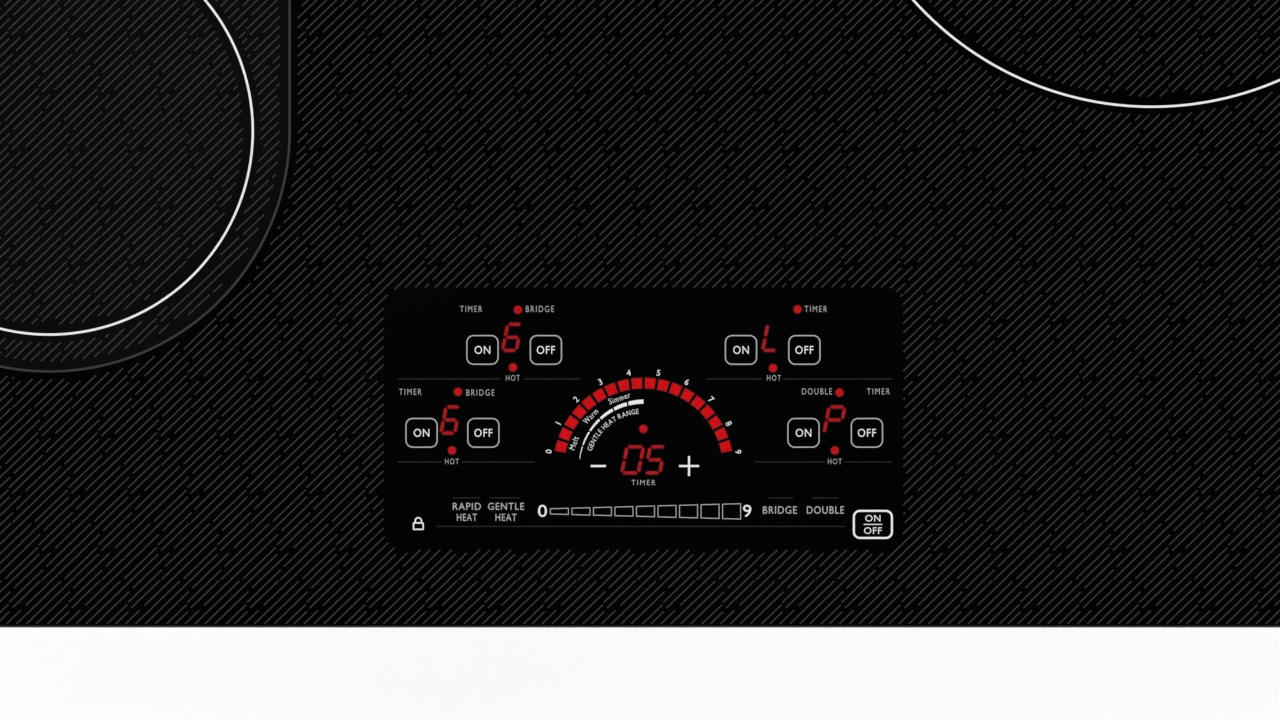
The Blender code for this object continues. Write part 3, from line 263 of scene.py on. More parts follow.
# ---- Materials ------------------------------------------------------------------------------
class Look:
    """A Principled material whose colour, roughness and bump come from procedural textures."""

    def __init__(self, name, metallic=0.0, ior=1.5):
        self.material = bpy.data.materials.new(name)
        self.material.use_nodes = True
        self.nodes = self.material.node_tree.nodes
        self.links = self.material.node_tree.links
        self.shader = self.nodes["Principled BSDF"]
        self.shader.inputs["Metallic"].default_value = metallic
        self.shader.inputs["IOR"].default_value = ior
        self.place = self.nodes.new("ShaderNodeTexCoord").outputs["Object"]

    def mapped(self, stretch=(1, 1, 1), shift=(0, 0, 0)):
        node = self.nodes.new("ShaderNodeMapping")
        node.inputs["Scale"].default_value = stretch
        node.inputs["Location"].default_value = shift
        self.links.new(self.place, node.inputs["Vector"])
        return node.outputs["Vector"]

    def noise(self, scale, detail=3.0, stretch=(1, 1, 1)):
        node = self.nodes.new("ShaderNodeTexNoise")
        node.inputs["Scale"].default_value = scale
        node.inputs["Detail"].default_value = detail
        self.links.new(self.mapped(stretch), node.inputs["Vector"])
        return node.outputs["Fac"]

    def cells(self, scale, output="Color"):
        node = self.nodes.new("ShaderNodeTexVoronoi")
        node.inputs["Scale"].default_value = scale
        self.links.new(self.mapped(), node.inputs["Vector"])
        return node.outputs[output]

    def rings(self, scale, shift):
        node = self.nodes.new("ShaderNodeTexWave")
        node.wave_type = "RINGS"
        node.rings_direction = "Z"
        node.inputs["Scale"].default_value = scale
        self.links.new(self.mapped(shift=shift), node.inputs["Vector"])
        return node.outputs["Fac"]

    def colour(self, source, *stops, socket="Base Color"):
        """Colours that follow a texture's value, at (value, colour) stops."""
        ramp = self.nodes.new("ShaderNodeValToRGB")
        while len(ramp.color_ramp.elements) < len(stops):
            ramp.color_ramp.elements.new(0.5)
        for element, (position, shade) in zip(ramp.color_ramp.elements, stops):
            element.position = position
            element.color = (*shade, 1)
        self.links.new(source, ramp.inputs["Fac"])
        self.links.new(ramp.outputs["Color"], self.shader.inputs[socket])
        return self

    def roughness(self, source, low, high):
        node = self.nodes.new("ShaderNodeMapRange")
        node.inputs["From Min"].default_value = 0.3
        node.inputs["From Max"].default_value = 0.7
        node.inputs["To Min"].default_value = low
        node.inputs["To Max"].default_value = high
        self.links.new(source, node.inputs["Value"])
        self.links.new(node.outputs["Result"], self.shader.inputs["Roughness"])
        return self

    def bump(self, source, strength, depth):
        node = self.nodes.new("ShaderNodeBump")
        node.inputs["Strength"].default_value = strength
        node.inputs["Distance"].default_value = depth * MM
        self.links.new(source, node.inputs["Height"])
        self.links.new(node.outputs["Normal"], self.shader.inputs["Normal"])
        return self

    def math(self, operation, *values):
        """The result of one sum on sockets and numbers."""
        node = self.nodes.new("ShaderNodeMath")
        node.operation = operation
        for socket, value in zip(node.inputs, values):
            if isinstance(value, float):
                socket.default_value = value
            else:
                self.links.new(value, socket)
        return node.outputs["Value"]

    def axes(self):
        """The place's x, y and z as sockets."""
        node = self.nodes.new("ShaderNodeSeparateXYZ")
        self.links.new(self.place, node.inputs["Vector"])
        return node.outputs


def grey(value):
    return (value, value, value)


def plain(name, dark, light, scale, rough, bump=(0.15, 0.02), fine=900.0, metallic=0.0):
    """A moulded or painted surface: mottled colour, uneven gloss and a fine grain."""
    look = Look(name, metallic)
    look.colour(look.noise(scale), (0.35, dark), (0.65, light))
    look.roughness(look.noise(scale * 3), *rough)
    look.bump(look.noise(fine, 2.0), *bump)
    return look.material


INK_DARKEST = 0.94  # share of an ink's colour in its darkest spots
GLASS_MOTTLE = 0.4  # share of the glass's colour range that the mottle takes
GLASS_STEP = 0.6  # shift of that range within the bridge outline


def glass_look():
    """Black glass, a shade lighter within the bridge outline."""
    look = Look("black_glass_ceramic", ior=1.52)
    place = look.axes()
    front, rear = FRONT + LEFT_FRONT[1] * MM, FRONT + LEFT_REAR[1] * MM
    nearest = look.math("MINIMUM", look.math("MAXIMUM", place["Y"], front), rear)
    x = look.math("SUBTRACT", place["X"], LEFT_FRONT[0] * MM)
    y = look.math("SUBTRACT", place["Y"], nearest)
    square = look.math("ADD", look.math("MULTIPLY", x, x), look.math("MULTIPLY", y, y))
    inside = look.math("LESS_THAN", look.math("SQRT", square), BRIDGE_RADIUS * MM)
    mottle = look.math("MULTIPLY", look.noise(14.0), GLASS_MOTTLE)
    shade = look.math("MULTIPLY_ADD", inside, GLASS_STEP, mottle)
    look.colour(
        shade,
        (0.12, (0.0004, 0.0004, 0.0006)),
        (0.28, (0.0009, 0.0009, 0.0012)),
        (0.72, (0.0024, 0.0024, 0.0025)),
        (0.88, (0.0031, 0.0031, 0.0032)),
    )
    look.roughness(look.noise(60.0, 6.0), 0.035, 0.06)
    look.bump(look.noise(9.0, 1.0), 0.05, 0.05)
    return look.material


def ink_look(name, shade):
    """Enamel print, a little uneven in its colour."""
    dark = tuple(c * INK_DARKEST for c in shade)
    return plain(name, dark, shade, 400.0, (0.32, 0.45), bump=(0.1, 0.004), fine=3000.0)


def lit_look(name, dark, light):
    """A display window lit from below: its light is a little uneven, as behind a diffuser."""
    look = Look(name)
    look.shader.inputs["Base Color"].default_value = (0.01, 0.001, 0.001, 1)
    look.colour(look.noise(700.0), (0.35, dark), (0.65, light), socket="Emission Color")
    look.roughness(look.noise(200.0), 0.12, 0.2)
    look.bump(look.noise(2500.0), 0.05, 0.002)
    look.shader.inputs["Emission Strength"].default_value = 1.0
    return look.material


def galvanised_look():
    """Hot-dip zinc: flat crystals of differing brightness, a few millimetres across."""
    look = Look("galvanised_steel", metallic=1.0)
    crystals = look.cells(170.0)
    look.colour(crystals, (0.1, grey(0.40)), (0.5, grey(0.52)), (0.9, (0.60, 0.61, 0.63)))
    look.roughness(look.cells(170.0), 0.28, 0.46)
    look.bump(look.noise(1400.0), 0.12, 0.02)
    return look.material


def brushed_look(name, dark, light, along, rough):
    """Rolled or drawn metal with fine lines along one axis."""
    look = Look(name, metallic=1.0)
    stretch = [0.03 if axis == along else 1.0 for axis in range(3)]
    grain = look.noise(2600.0, 4.0, stretch)
    look.colour(grain, (0.3, dark), (0.7, light))
    look.roughness(look.noise(1800.0, 3.0, stretch), *rough)
    look.bump(look.noise(2600.0, 4.0, stretch), 0.15, 0.01)
    return look.material


LAMINATE_SHARE = 0.5  # of the range of colours, for the board itself
BODY_START = 0.45  # where the components' colours start in it


def circuit_look(name, level):
    """Solder mask over copper tracks up to a level, and the bodies of the components above it."""
    look = Look(name)
    above = look.math("GREATER_THAN", look.axes()["Z"], level)
    tracks = look.cells(260.0, "Distance")
    laminate = look.math("MULTIPLY", tracks, LAMINATE_SHARE)
    bodies = look.math("MULTIPLY_ADD", look.cells(14.0), LAMINATE_SHARE, BODY_START)
    shade = look.math("MULTIPLY_ADD", above, look.math("SUBTRACT", bodies, laminate), laminate)
    look.colour(
        shade,
        (0.12, (0.010, 0.060, 0.022)),
        (0.2, (0.016, 0.095, 0.034)),
        (0.4, (0.012, 0.075, 0.028)),
        (0.5, grey(0.012)),
        (0.68, (0.012, 0.016, 0.030)),
        (0.78, (0.16, 0.13, 0.035)),
        (0.92, grey(0.32)),
    )
    look.roughness(look.noise(300.0), 0.22, 0.38)
    look.bump(tracks, 0.2, 0.03)
    return look.material


def winding_look(name, centre):
    """Varnished litz wire, wound flat about a centre."""
    look = Look(name, metallic=1.0)
    turns = look.rings(70.0, (-centre.x, -centre.y, 0.0))
    look.colour(
        turns,
        (0.15, (0.16, 0.055, 0.022)),
        (0.55, (0.56, 0.24, 0.11)),
        (0.9, (0.68, 0.32, 0.16)),
    )
    look.roughness(look.noise(500.0), 0.26, 0.42)
    look.bump(turns, 0.5, 0.6)
    return look.material


def felt_look():
    """Ceramic fibre felt, pale and matt."""
    look = Look("ceramic_felt")
    look.colour(look.noise(900.0, 6.0), (0.3, (0.60, 0.58, 0.53)), (0.7, (0.78, 0.76, 0.71)))
    look.roughness(look.noise(200.0), 0.85, 0.98)
    look.bump(look.noise(2200.0, 5.0), 0.6, 0.25)
    return look.material


def foam_look():
    """Closed-cell sealing foam."""
    look = Look("sealing_foam")
    look.colour(look.noise(500.0, 4.0), (0.3, grey(0.012)), (0.7, grey(0.028)))
    look.roughness(look.noise(150.0), 0.78, 0.92)
    look.bump(look.cells(1500.0, "Distance"), 0.5, 0.15)
    return look.material


# ---- Glass ----------------------------------------------------------------------------------
GLASS_CORNER = 10.0
GLASS_TOP_ROUND = 1.3
GLASS_FOOT_ROUND = 0.7
EDGE_STEPS = 6
CORNER_STEPS = 12


def glass_sheet(look):
    """The glass-ceramic sheet with its rounded rim. It stands for the plain slab of the frame."""
    width, depth = [(GLASS_HIGH[i] - GLASS_LOW[i]) / MM for i in (0, 1)]
    thickness = (TOP - GLASS_LOW.z) / MM
    quarter = [math.pi / 2 * i / EDGE_STEPS for i in range(EDGE_STEPS + 1)]
    foot = [
        (GLASS_FOOT_ROUND * (1 - math.sin(a)), GLASS_FOOT_ROUND * (1 - math.cos(a)))
        for a in quarter
    ]
    rim = [
        (GLASS_TOP_ROUND * (1 - math.cos(a)), thickness - GLASS_TOP_ROUND * (1 - math.sin(a)))
        for a in quarter
    ]
    work = bmesh.new()
    rings = []
    for inset, level in foot + rim:
        size = (width - 2 * inset, depth - 2 * inset)
        outline = rounded(0, depth / 2, *size, GLASS_CORNER - inset, CORNER_STEPS)
        rings.append([work.verts.new((p.x, p.y, GLASS_LOW.z + level * MM)) for p in outline])
    for lower, upper in zip(rings, rings[1:]):
        for i in range(len(lower)):
            j = (i + 1) % len(lower)
            work.faces.new((lower[i], lower[j], upper[j], upper[i])).smooth = True
    work.faces.new(rings[-1])
    work.faces.new(list(reversed(rings[0])))
    mesh = bpy.data.meshes.new("glass_sheet")
    work.to_mesh(mesh)
    work.free()
    piece = finished("glass_sheet", mesh, look)
    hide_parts("glass_top")


# ---- Zones ----------------------------------------------------------------------------------
def zone(winding):
    """(x, forward, radius) in mm of the printed ring over a winding."""
    low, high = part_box(winding)
    x, y = (low.x + high.x) / 2, (low.y + high.y) / 2
    return x / MM, (y - FRONT) / MM, (high.x - low.x) / 2 / MM + ZONE_MARGIN


LEFT_FRONT = zone("winding_left_front")
LEFT_REAR = zone("winding_left_rear")
CENTRE_REAR = zone("winding_centre_rear")
RIGHT = zone("winding_right_outer")
RINGS = (LEFT_FRONT, LEFT_REAR, CENTRE_REAR, RIGHT, (*RIGHT[:2], INNER_RING))


def zone_rings(look):
    ink = Ink()
    for x, forward, radius in RINGS:
        ink.line(circle(x, forward, radius, RING_STEPS), RING_LINE, closed=True)
    ink.make("zone_rings", look)


def bridge_outline(look):
    """The outline round the two left zones, which can be heated as one."""
    x, front, _ = LEFT_FRONT
    ink = Ink()
    rear_end = arc(x, LEFT_REAR[1], BRIDGE_RADIUS, 0, 180, BRIDGE_STEPS)
    front_end = arc(x, front, BRIDGE_RADIUS, 180, 360, BRIDGE_STEPS)
    ink.line(rear_end + front_end, BRIDGE_LINE, closed=True)
    ink.make("bridge_outline", look)


# ---- Hatch ----------------------------------------------------------------------------------
def box_distance(x, y, cx, cy, half_width, half_depth, radius):
    """Distance to a rectangle with round corners, negative inside it."""
    dx, dy = abs(x - cx) - half_width + radius, abs(y - cy) - half_depth + radius
    return np.hypot(np.maximum(dx, 0), np.maximum(dy, 0)) + np.minimum(np.maximum(dx, dy), 0) - radius


def clear_of_decor(x, y):
    """Whether a place, in mm, may carry a line of the hatch."""
    width, depth = [(GLASS_HIGH[i] - GLASS_LOW[i]) / MM for i in (0, 1)]
    clear = box_distance(x, y, 0, depth / 2, width / 2, depth / 2, GLASS_CORNER) < -HATCH_EDGE
    middle, half = (PANEL_FRONT + PANEL_REAR) / 2, (PANEL_REAR - PANEL_FRONT) / 2
    clear &= box_distance(x, y, 0, middle, PANEL_HALF_WIDTH, half, PANEL_CORNER) > 0
    distances = [np.hypot(x - cx, y - cy) - radius for cx, cy, radius in RINGS]
    nearest = np.clip(y, LEFT_FRONT[1], LEFT_REAR[1])
    distances.append(np.hypot(x - LEFT_FRONT[0], y - nearest) - BRIDGE_RADIUS)
    for distance in distances:
        clear &= (distance < -HATCH_CLEAR_INSIDE) | (distance > HATCH_CLEAR_OUTSIDE)
    return clear


def hatch(look):
    """Broken lines over the whole glass, cut where the rings and the panel are."""
    along = np.array((math.cos(HATCH_ANGLE), math.sin(HATCH_ANGLE)))
    across = np.array((along[1], -along[0]))
    reach = math.hypot(*(GLASS_HIGH - GLASS_LOW).xy) / MM
    groups = int(reach / (3 * HATCH_PITCH)) + 1
    repeats = int(reach / HATCH_REPEAT) + 1
    ink = Ink()
    half = across * HATCH_LINE / 2
    for group in range(-groups, groups + 1):
        slip = group * HATCH_SLIP % HATCH_REPEAT
        for line, start, length, shift in HATCH_DASHES:
            aside = HATCH_OFFSET + (3 * group + line) * HATCH_PITCH + shift
            for repeat in range(-repeats, repeats + 1):
                begin = start + slip + repeat * HATCH_REPEAT
                steps = begin + np.arange(0, length, HATCH_STEP)
                places = np.array(HATCH_ORIGIN) + steps[:, None] * along + aside * across
                inside = np.concatenate(([False], clear_of_decor(*places.T), [False]))
                changes = np.flatnonzero(inside[1:] != inside[:-1])
                for first, last in zip(changes[::2], changes[1::2] - 1):
                    if (last - first) * HATCH_STEP < HATCH_SHORTEST:
                        continue
                    ends = [places[first], places[last]]
                    ink.band([at(*(p - half)) for p in ends], [at(*(p + half)) for p in ends])
    ink.make("hatch_lines", look)


# ---- Control panel print --------------------------------------------------------------------
KEYS = (
    ("ON", -70.3, 121.4), ("OFF", -42.6, 121.4), ("ON", 42.6, 121.4), ("OFF", 70.3, 121.4),
    ("ON", -96.9, 85.2), ("OFF", -69.9, 85.2), ("ON", 69.9, 85.2), ("OFF", 97.6, 85.2),
)
KEY_WORDS = {"ON": 6.8, "OFF": 7.9}
KEY_WORD_HEIGHT = 3.5
THIN = -0.01  # added to the outline of thin letters
MAIN_KEY = (100.2, 45.2, 17.5, 12.7)
MAIN_KEY_LINE = 0.88
MAIN_KEY_CORNER = 2.6
MAIN_KEY_WORDS = (("ON", 2.7, 6.6), ("OFF", -2.7, 7.7))  # word, place above the middle, width
MAIN_KEY_WORD_HEIGHT = 2.9
MAIN_KEY_RULE = 8.0
MAIN_KEY_RULE_LINE = 0.38
# the strokes of the minus and of the plus, which is open where they would cross
SIGN_STROKES = (
    ((-23.0, 70.7), (-16.4, 70.7)), ((15.55, 70.7), (24.25, 70.7)),
    ((19.9, 71.15), (19.9, 75.05)), ((19.9, 66.35), (19.9, 70.25)),
)
SIGN_LINE = 0.9
PADLOCK = (-98.3, 45.6)
PADLOCK_BODY = (4.2, 2.8)
PADLOCK_CORNER = 0.15
PADLOCK_DROP = 1.15  # of the body below the middle, and of the bow above it
PADLOCK_LINE = 0.6
SHACKLE_RADIUS = 1.35
SHACKLE_FOOT = 0.55
# (word, x, forward, width, height)
SMALL_WORDS = (
    ("TIMER", -75.3, 139.3, 9.6, 2.6), ("BRIDGE", -45.2, 139.3, 12.2, 2.7),
    ("TIMER", 75.3, 139.3, 9.8, 2.6), ("HOT", -57.0, 109.2, 6.0, 2.4),
    ("HOT", 57.0, 109.2, 6.0, 2.4), ("TIMER", -101.8, 103.1, 9.8, 2.6),
    ("BRIDGE", -71.2, 102.8, 12.2, 2.7), ("DOUBLE", 75.8, 103.3, 13.1, 2.7),
    ("TIMER", 102.6, 103.3, 10.0, 2.6), ("HOT", -83.6, 72.7, 6.0, 2.4),
    ("HOT", 83.6, 72.7, 6.0, 2.4), ("TIMER", 0.0, 63.5, 10.5, 2.2),
)
FOOT_WORDS = (
    ("RAPID", -77.1, 53.1, 12.2, 3.1), ("HEAT", -77.1, 48.3, 8.7, 3.1),
    ("GENTLE", -60.0, 53.1, 15.7, 3.1), ("HEAT", -60.0, 48.3, 9.2, 3.1),
    ("BRIDGE", 59.6, 51.5, 14.8, 3.3), ("DOUBLE", 79.5, 51.5, 16.2, 3.3),
)
SLIDER = (-40.8, 42.6, 50.9)  # left end, right end, forward
SLIDER_ENDS = (("0", -44.1, 51.1, 3.9, 5.3), ("9", 45.3, 51.1, 3.6, 5.3))
SLIDER_CELLS = 9
SLIDER_GAP = 1.2
SLIDER_HEIGHTS = (2.6, 7.05)
SLIDER_LINE = 0.33
# (forward, start, end) of the faint rules
RULES = (
    (108.7, -107.2, -62.7), (108.7, -52.2, -27.7), (108.7, 27.7, 51.7), (108.7, 60.9, 108.5),
    (72.5, -107.2, -88.0), (72.5, -79.3, -47.4), (72.5, 48.7, 79.3), (72.5, 88.0, 108.5),
    (44.3, -90.2, 88.0),
    (56.8, -83.2, -71.4), (56.8, -67.0, -53.9), (56.8, 54.8, 65.3), (56.8, 74.0, 84.9),
)
RULE_LINE = 0.4


def key_frames(look):
    ink = Ink()
    for _, x, forward in KEYS:
        ink.line(rounded(x, forward, *KEY_SIZE, KEY_CORNER), KEY_LINE, closed=True)
    left, right, forward = SLIDER
    pitch = (right - left + SLIDER_GAP) / SLIDER_CELLS
    for i in range(SLIDER_CELLS):
        start = left + i * pitch + SLIDER_LINE / 2
        end = left + (i + 1) * pitch - SLIDER_GAP - SLIDER_LINE / 2
        low, high = [
            np.interp(x, (left, right), SLIDER_HEIGHTS) / 2 - SLIDER_LINE / 2 for x in (start, end)
        ]
        corners = (end, high), (start, low), (start, -low), (end, -high)
        ink.line([at(x, forward + away) for x, away in corners], SLIDER_LINE, closed=True)
    ink.make("key_frames", look)


def faint_rules(look):
    ink = Ink()
    for forward, start, end in RULES:
        ink.line([at(start, forward), at(end, forward)], RULE_LINE)
    ink.make("faint_rules", look)


def panel_words(look):
    ink = Ink()
    for place in SMALL_WORDS:
        ink.words(*place, weight=THIN, spacing=1.3)
    for place in FOOT_WORDS:
        ink.words(*place, spacing=1.15)
    ink.make("panel_words", look)


def bright_print(look):
    """What is printed in full white: key words, slider ends, main key, padlock, plus and minus."""
    ink = Ink()
    for word, x, forward in KEYS:
        ink.words(word, x, forward, KEY_WORDS[word], KEY_WORD_HEIGHT, spacing=1.12)
    for place in SLIDER_ENDS:
        ink.words(*place)
    x, forward, width, depth = MAIN_KEY
    frame_size = width - MAIN_KEY_LINE, depth - MAIN_KEY_LINE
    ink.line(rounded(x, forward, *frame_size, MAIN_KEY_CORNER), MAIN_KEY_LINE, closed=True)
    for word, away, wide in MAIN_KEY_WORDS:
        ink.words(word, x, forward + away, wide, MAIN_KEY_WORD_HEIGHT, spacing=1.1)
    rule = MAIN_KEY_RULE / 2
    ink.line([at(x - rule, forward), at(x + rule, forward)], MAIN_KEY_RULE_LINE)
    for start, end in SIGN_STROKES:
        ink.line([at(*start), at(*end)], SIGN_LINE)
    padlock(ink)
    ink.make("bright_print", look)


def padlock(ink):
    """A generic padlock: a body in outline, and its shackle."""
    x, forward = PADLOCK
    body = rounded(x, forward - PADLOCK_DROP, *PADLOCK_BODY, PADLOCK_CORNER, 2)
    ink.line(body, PADLOCK_LINE, closed=True)
    bow = arc(x, forward + PADLOCK_DROP, SHACKLE_RADIUS, 0, 180, 16)
    foot = forward + SHACKLE_FOOT
    ink.line([at(x + SHACKLE_RADIUS, foot), *bow, at(x - SHACKLE_RADIUS, foot)], PADLOCK_LINE)


# ---- Power arc ------------------------------------------------------------------------------
ARC_BLOCKS = 18
ARC_SPAN = (170.0, 10.0)
ARC_RADII = (34.7, 39.3)
ARC_GAP = 1.35
DIAL_NUMBERS = 10
DIAL_RADIUS = 42.0
DIAL_HEIGHT = 2.6
DIAL_SPAN = (170.2, 9.6)
LOW_ARC = (172.0, 90.0)
LOW_ARC_GAPS = (160.0, 146.0, 131.6, 117.2, 103.8)
LOW_ARC_GAP = 1.5  # degrees
LOW_ARC_STEPS = 8  # for each piece of the arc
LOW_ARC_RADIUS = 28.0
LOW_ARC_WIDTHS = (0.2, 1.9)
LOW_WORDS = (("Melt", 160.4, 5.8), ("Warm", 135.7, 7.5), ("Simmer", 109.0, 9.6))
LOW_WORD_RADIUS = 32.2
LOW_WORD_HEIGHT = 2.5
INNER_WORDS = "GENTLE HEAT RANGE"
INNER_RADIUS = 24.8
INNER_SPAN = (162.0, 95.0)
INNER_HEIGHT = 2.1
LETTER_GAP = 0.5


def on_arc(radius, degrees):
    angle = math.radians(degrees)
    return ARC_CENTRE[0] + radius * math.cos(angle), ARC_CENTRE[1] + radius * math.sin(angle)


def arc_blocks(ink, spread):
    """The blocks of the power arc, each grown by spread on every side."""
    pitch = (ARC_SPAN[0] - ARC_SPAN[1]) / ARC_BLOCKS
    inner, outer = ARC_RADII[0] - spread, ARC_RADII[1] + spread
    trim = math.degrees((ARC_GAP / 2 - spread) / ARC_RADII[1])
    for i in range(ARC_BLOCKS):
        start, end = ARC_SPAN[0] - i * pitch - trim, ARC_SPAN[0] - (i + 1) * pitch + trim
        edges = [arc(*ARC_CENTRE, radius, start, end, 4) for radius in (outer, inner)]
        ink.band(*edges)


def dial_print(look):
    """Numbers and words round the power arc, and the tapered arc of the low settings."""
    ink = Ink()
    for n in range(DIAL_NUMBERS):
        degrees = np.interp(n, (0, DIAL_NUMBERS - 1), DIAL_SPAN)
        place = on_arc(DIAL_RADIUS, degrees)
        ink.words(str(n), *place, None, DIAL_HEIGHT, math.radians(degrees - 90))
    for word, degrees, width in LOW_WORDS:
        place = on_arc(LOW_WORD_RADIUS, degrees)
        ink.words(word, *place, width, LOW_WORD_HEIGHT, math.radians(degrees - 90), THIN, 1.15)
    curved_words(ink)
    stops = [LOW_ARC[0], *LOW_ARC_GAPS, LOW_ARC[1]]
    for i, (start, end) in enumerate(zip(stops, stops[1:])):
        start -= LOW_ARC_GAP / 2 if i else 0
        end += LOW_ARC_GAP / 2 if i < len(LOW_ARC_GAPS) else 0
        inner = arc(*ARC_CENTRE, LOW_ARC_RADIUS, start, end, LOW_ARC_STEPS)
        outer = []
        for step in range(LOW_ARC_STEPS + 1):
            degrees = start + (end - start) * step / LOW_ARC_STEPS
            width = np.interp(-degrees, (-LOW_ARC[0], -LOW_ARC[1]), LOW_ARC_WIDTHS)
            outer.append(at(*on_arc(LOW_ARC_RADIUS + width, degrees)))
        ink.band(outer, inner)
    ink.make("dial_print", look)


def curved_words(ink):
    """Letters set one by one on a circle, spaced by their own widths."""
    widths = []
    for letter in INNER_WORDS:
        points, _ = letter_mesh(letter.strip() or "I")
        low, high = points.min(0), points.max(0)
        widths.append((high - low)[0])
    gaps = LETTER_GAP * (len(widths) - 1)
    scale = math.radians(INNER_SPAN[0] - INNER_SPAN[1]) * INNER_RADIUS - gaps
    scale /= sum(widths)
    travelled = 0.0
    for letter, width in zip(INNER_WORDS, widths):
        middle = INNER_SPAN[0] - math.degrees((travelled + width * scale / 2) / INNER_RADIUS)
        if letter.strip():
            x, forward = on_arc(INNER_RADIUS, middle)
            ink.words(letter, x, forward, width * scale, INNER_HEIGHT, math.radians(middle - 90), THIN)
        travelled += width * scale + LETTER_GAP


# ---- Lit characters -------------------------------------------------------------------------
LAMPS = (
    (67.3, 139.1), (-54.8, 138.9), (-57.0, 113.8), (56.6, 113.5), (-81.0, 103.1),
    (85.6, 102.8), (0.0, 86.9), (-83.6, 77.5), (83.6, 77.5),
)
LAMP_RADIUS = 1.75
SLANT = 0.2
SEGMENT_WIDTH = 1.35
SEGMENT_GAP = 0.35
# ends of the seven bars, as shares of half the character's width and height
SEGMENTS = {
    "a": ((-1, 1), (1, 1)), "b": ((1, 1), (1, 0)), "c": ((1, 0), (1, -1)), "d": ((1, -1), (-1, -1)),
    "e": ((-1, -1), (-1, 0)), "f": ((-1, 0), (-1, 1)), "g": ((-1, 0), (1, 0)),
}
BARS = {"0": "abcdef", "5": "acdfg", "6": "acdefg", "L": "def", "P": "abefg"}
# (character, x, forward, half width, half height), to the middle of the bars
CHARACTERS = (
    ("6", -57.4, 126.9, 3.0, 5.7), ("L", 56.2, 126.9, 3.0, 5.7),
    ("6", -84.3, 90.8, 3.0, 5.7), ("P", 83.4, 90.8, 3.4, 5.7),
    ("0", -4.7, 73.4, 3.6, 5.7), ("5", 5.0, 73.4, 3.2, 5.7),
)


def lit_characters(ink, spread):
    """Slanted seven-bar characters, each bar grown by spread."""
    for character, x, forward, half_width, half_height in CHARACTERS:
        for name in BARS[character]:
            ends = []
            for sx, sy in SEGMENTS[name]:
                up = sy * half_height
                ends.append(Vector((x + sx * half_width + up * SLANT, forward + up)))
            run = (ends[1] - ends[0]).normalized()
            side = Vector((-run.y, run.x)) * (SEGMENT_WIDTH / 2 + spread)
            start = ends[0] + run * (SEGMENT_GAP - spread)
            end = ends[1] - run * (SEGMENT_GAP - spread)
            shoulder = run * (SEGMENT_WIDTH / 2)
            outline = [
                start, start + shoulder - side, end - shoulder - side,
                end, end - shoulder + side, start + shoulder + side,
            ]
            ink.patch([at(*p) for p in outline])


def lamps(ink, spread):
    for x, forward in LAMPS:
        ink.patch(circle(x, forward, LAMP_RADIUS + spread, 32))


def lit_control():
    """Each lit shape has weak light round it in the glass; the power arc and the lamps have a bright
    core and a dimmer border, the digits a single lit face.
    """
    core = lit_look("lit_red", (0.52, 0.003, 0.005), (0.62, 0.005, 0.007))
    lamp = lit_look("lit_red_lamp", (0.42, 0.006, 0.012), (0.48, 0.008, 0.014))
    digit = lit_look("lit_red_digits", (0.25, 0.011, 0.016), (0.33, 0.016, 0.022))
    border = lit_look("lit_red_border", (0.29, 0.011, 0.014), (0.36, 0.015, 0.019))
    halo = lit_look("lit_red_halo", (0.028, 0.0006, 0.001), (0.042, 0.001, 0.0014))
    for name, draw, layers in (
        ("power_arc", arc_blocks, (("", core, -0.55), ("_border", border, 0.0), ("_halo", halo, 0.4))),
        ("lit_digits", lit_characters, (("", digit, 0.0), ("_halo", halo, 0.45))),
        ("indicator_lamps", lamps, (("", lamp, -0.5), ("_border", border, 0.0), ("_halo", halo, 0.45))),
    ):
        for level, (suffix, look, spread) in enumerate(layers):
            ink = Ink(INK_RISE * (1 - level / len(layers)))
            draw(ink, spread)
            ink.make(name + suffix, look)


# ---- Springs under the coil plates ----------------------------------------------------------
SPRING_TURNS = 5
SPRING_STEPS = 24
WIRE_SIDES = 8
WIRE = 0.0007
# share of the height at each share of the wire: the two end turns are closed
SPRING_SHARES = (0, 1 / SPRING_TURNS, 1 - 1 / SPRING_TURNS, 1)
SPRING_RISES = (0, 0.09, 0.91, 1)


def spring(side, number, look):
    """A compression spring with closed ends, which stands in for the frame's spring."""
    node = f"lift_spring_{side}_{number}"
    low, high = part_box(node)
    centre, radius = (low + high) / 2, (high.x - low.x) / 2 - WIRE
    bottom, top = low.z + WIRE, high.z - WIRE
    work = bmesh.new()
    previous = None
    count = SPRING_TURNS * SPRING_STEPS
    for i in range(count + 1):
        share = i / count
        rise = np.interp(share, SPRING_SHARES, SPRING_RISES)
        angle = math.tau * i / SPRING_STEPS
        out = Vector((math.cos(angle), math.sin(angle), 0))
        spot = Vector((centre.x, centre.y, bottom + (top - bottom) * rise)) + out * radius
        ring = []
        for k in range(WIRE_SIDES):
            turn = math.tau * k / WIRE_SIDES
            offset = out * math.cos(turn) + Vector((0, 0, math.sin(turn)))
            ring.append(work.verts.new(spot + offset * WIRE))
        if previous:
            for k in range(WIRE_SIDES):
                m = (k + 1) % WIRE_SIDES
                work.faces.new((previous[k], previous[m], ring[m], ring[k])).smooth = True
        else:
            work.faces.new(ring)
        previous = ring
    work.faces.new(previous)
    mesh = bpy.data.meshes.new(node + "_wire")
    work.to_mesh(mesh)
    work.free()
    piece = finished(node + "_wire", mesh, look)
    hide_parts(node)
    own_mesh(piece)


# ---- Rivets ---------------------------------------------------------------------------------
RIVET_STEPS = 16
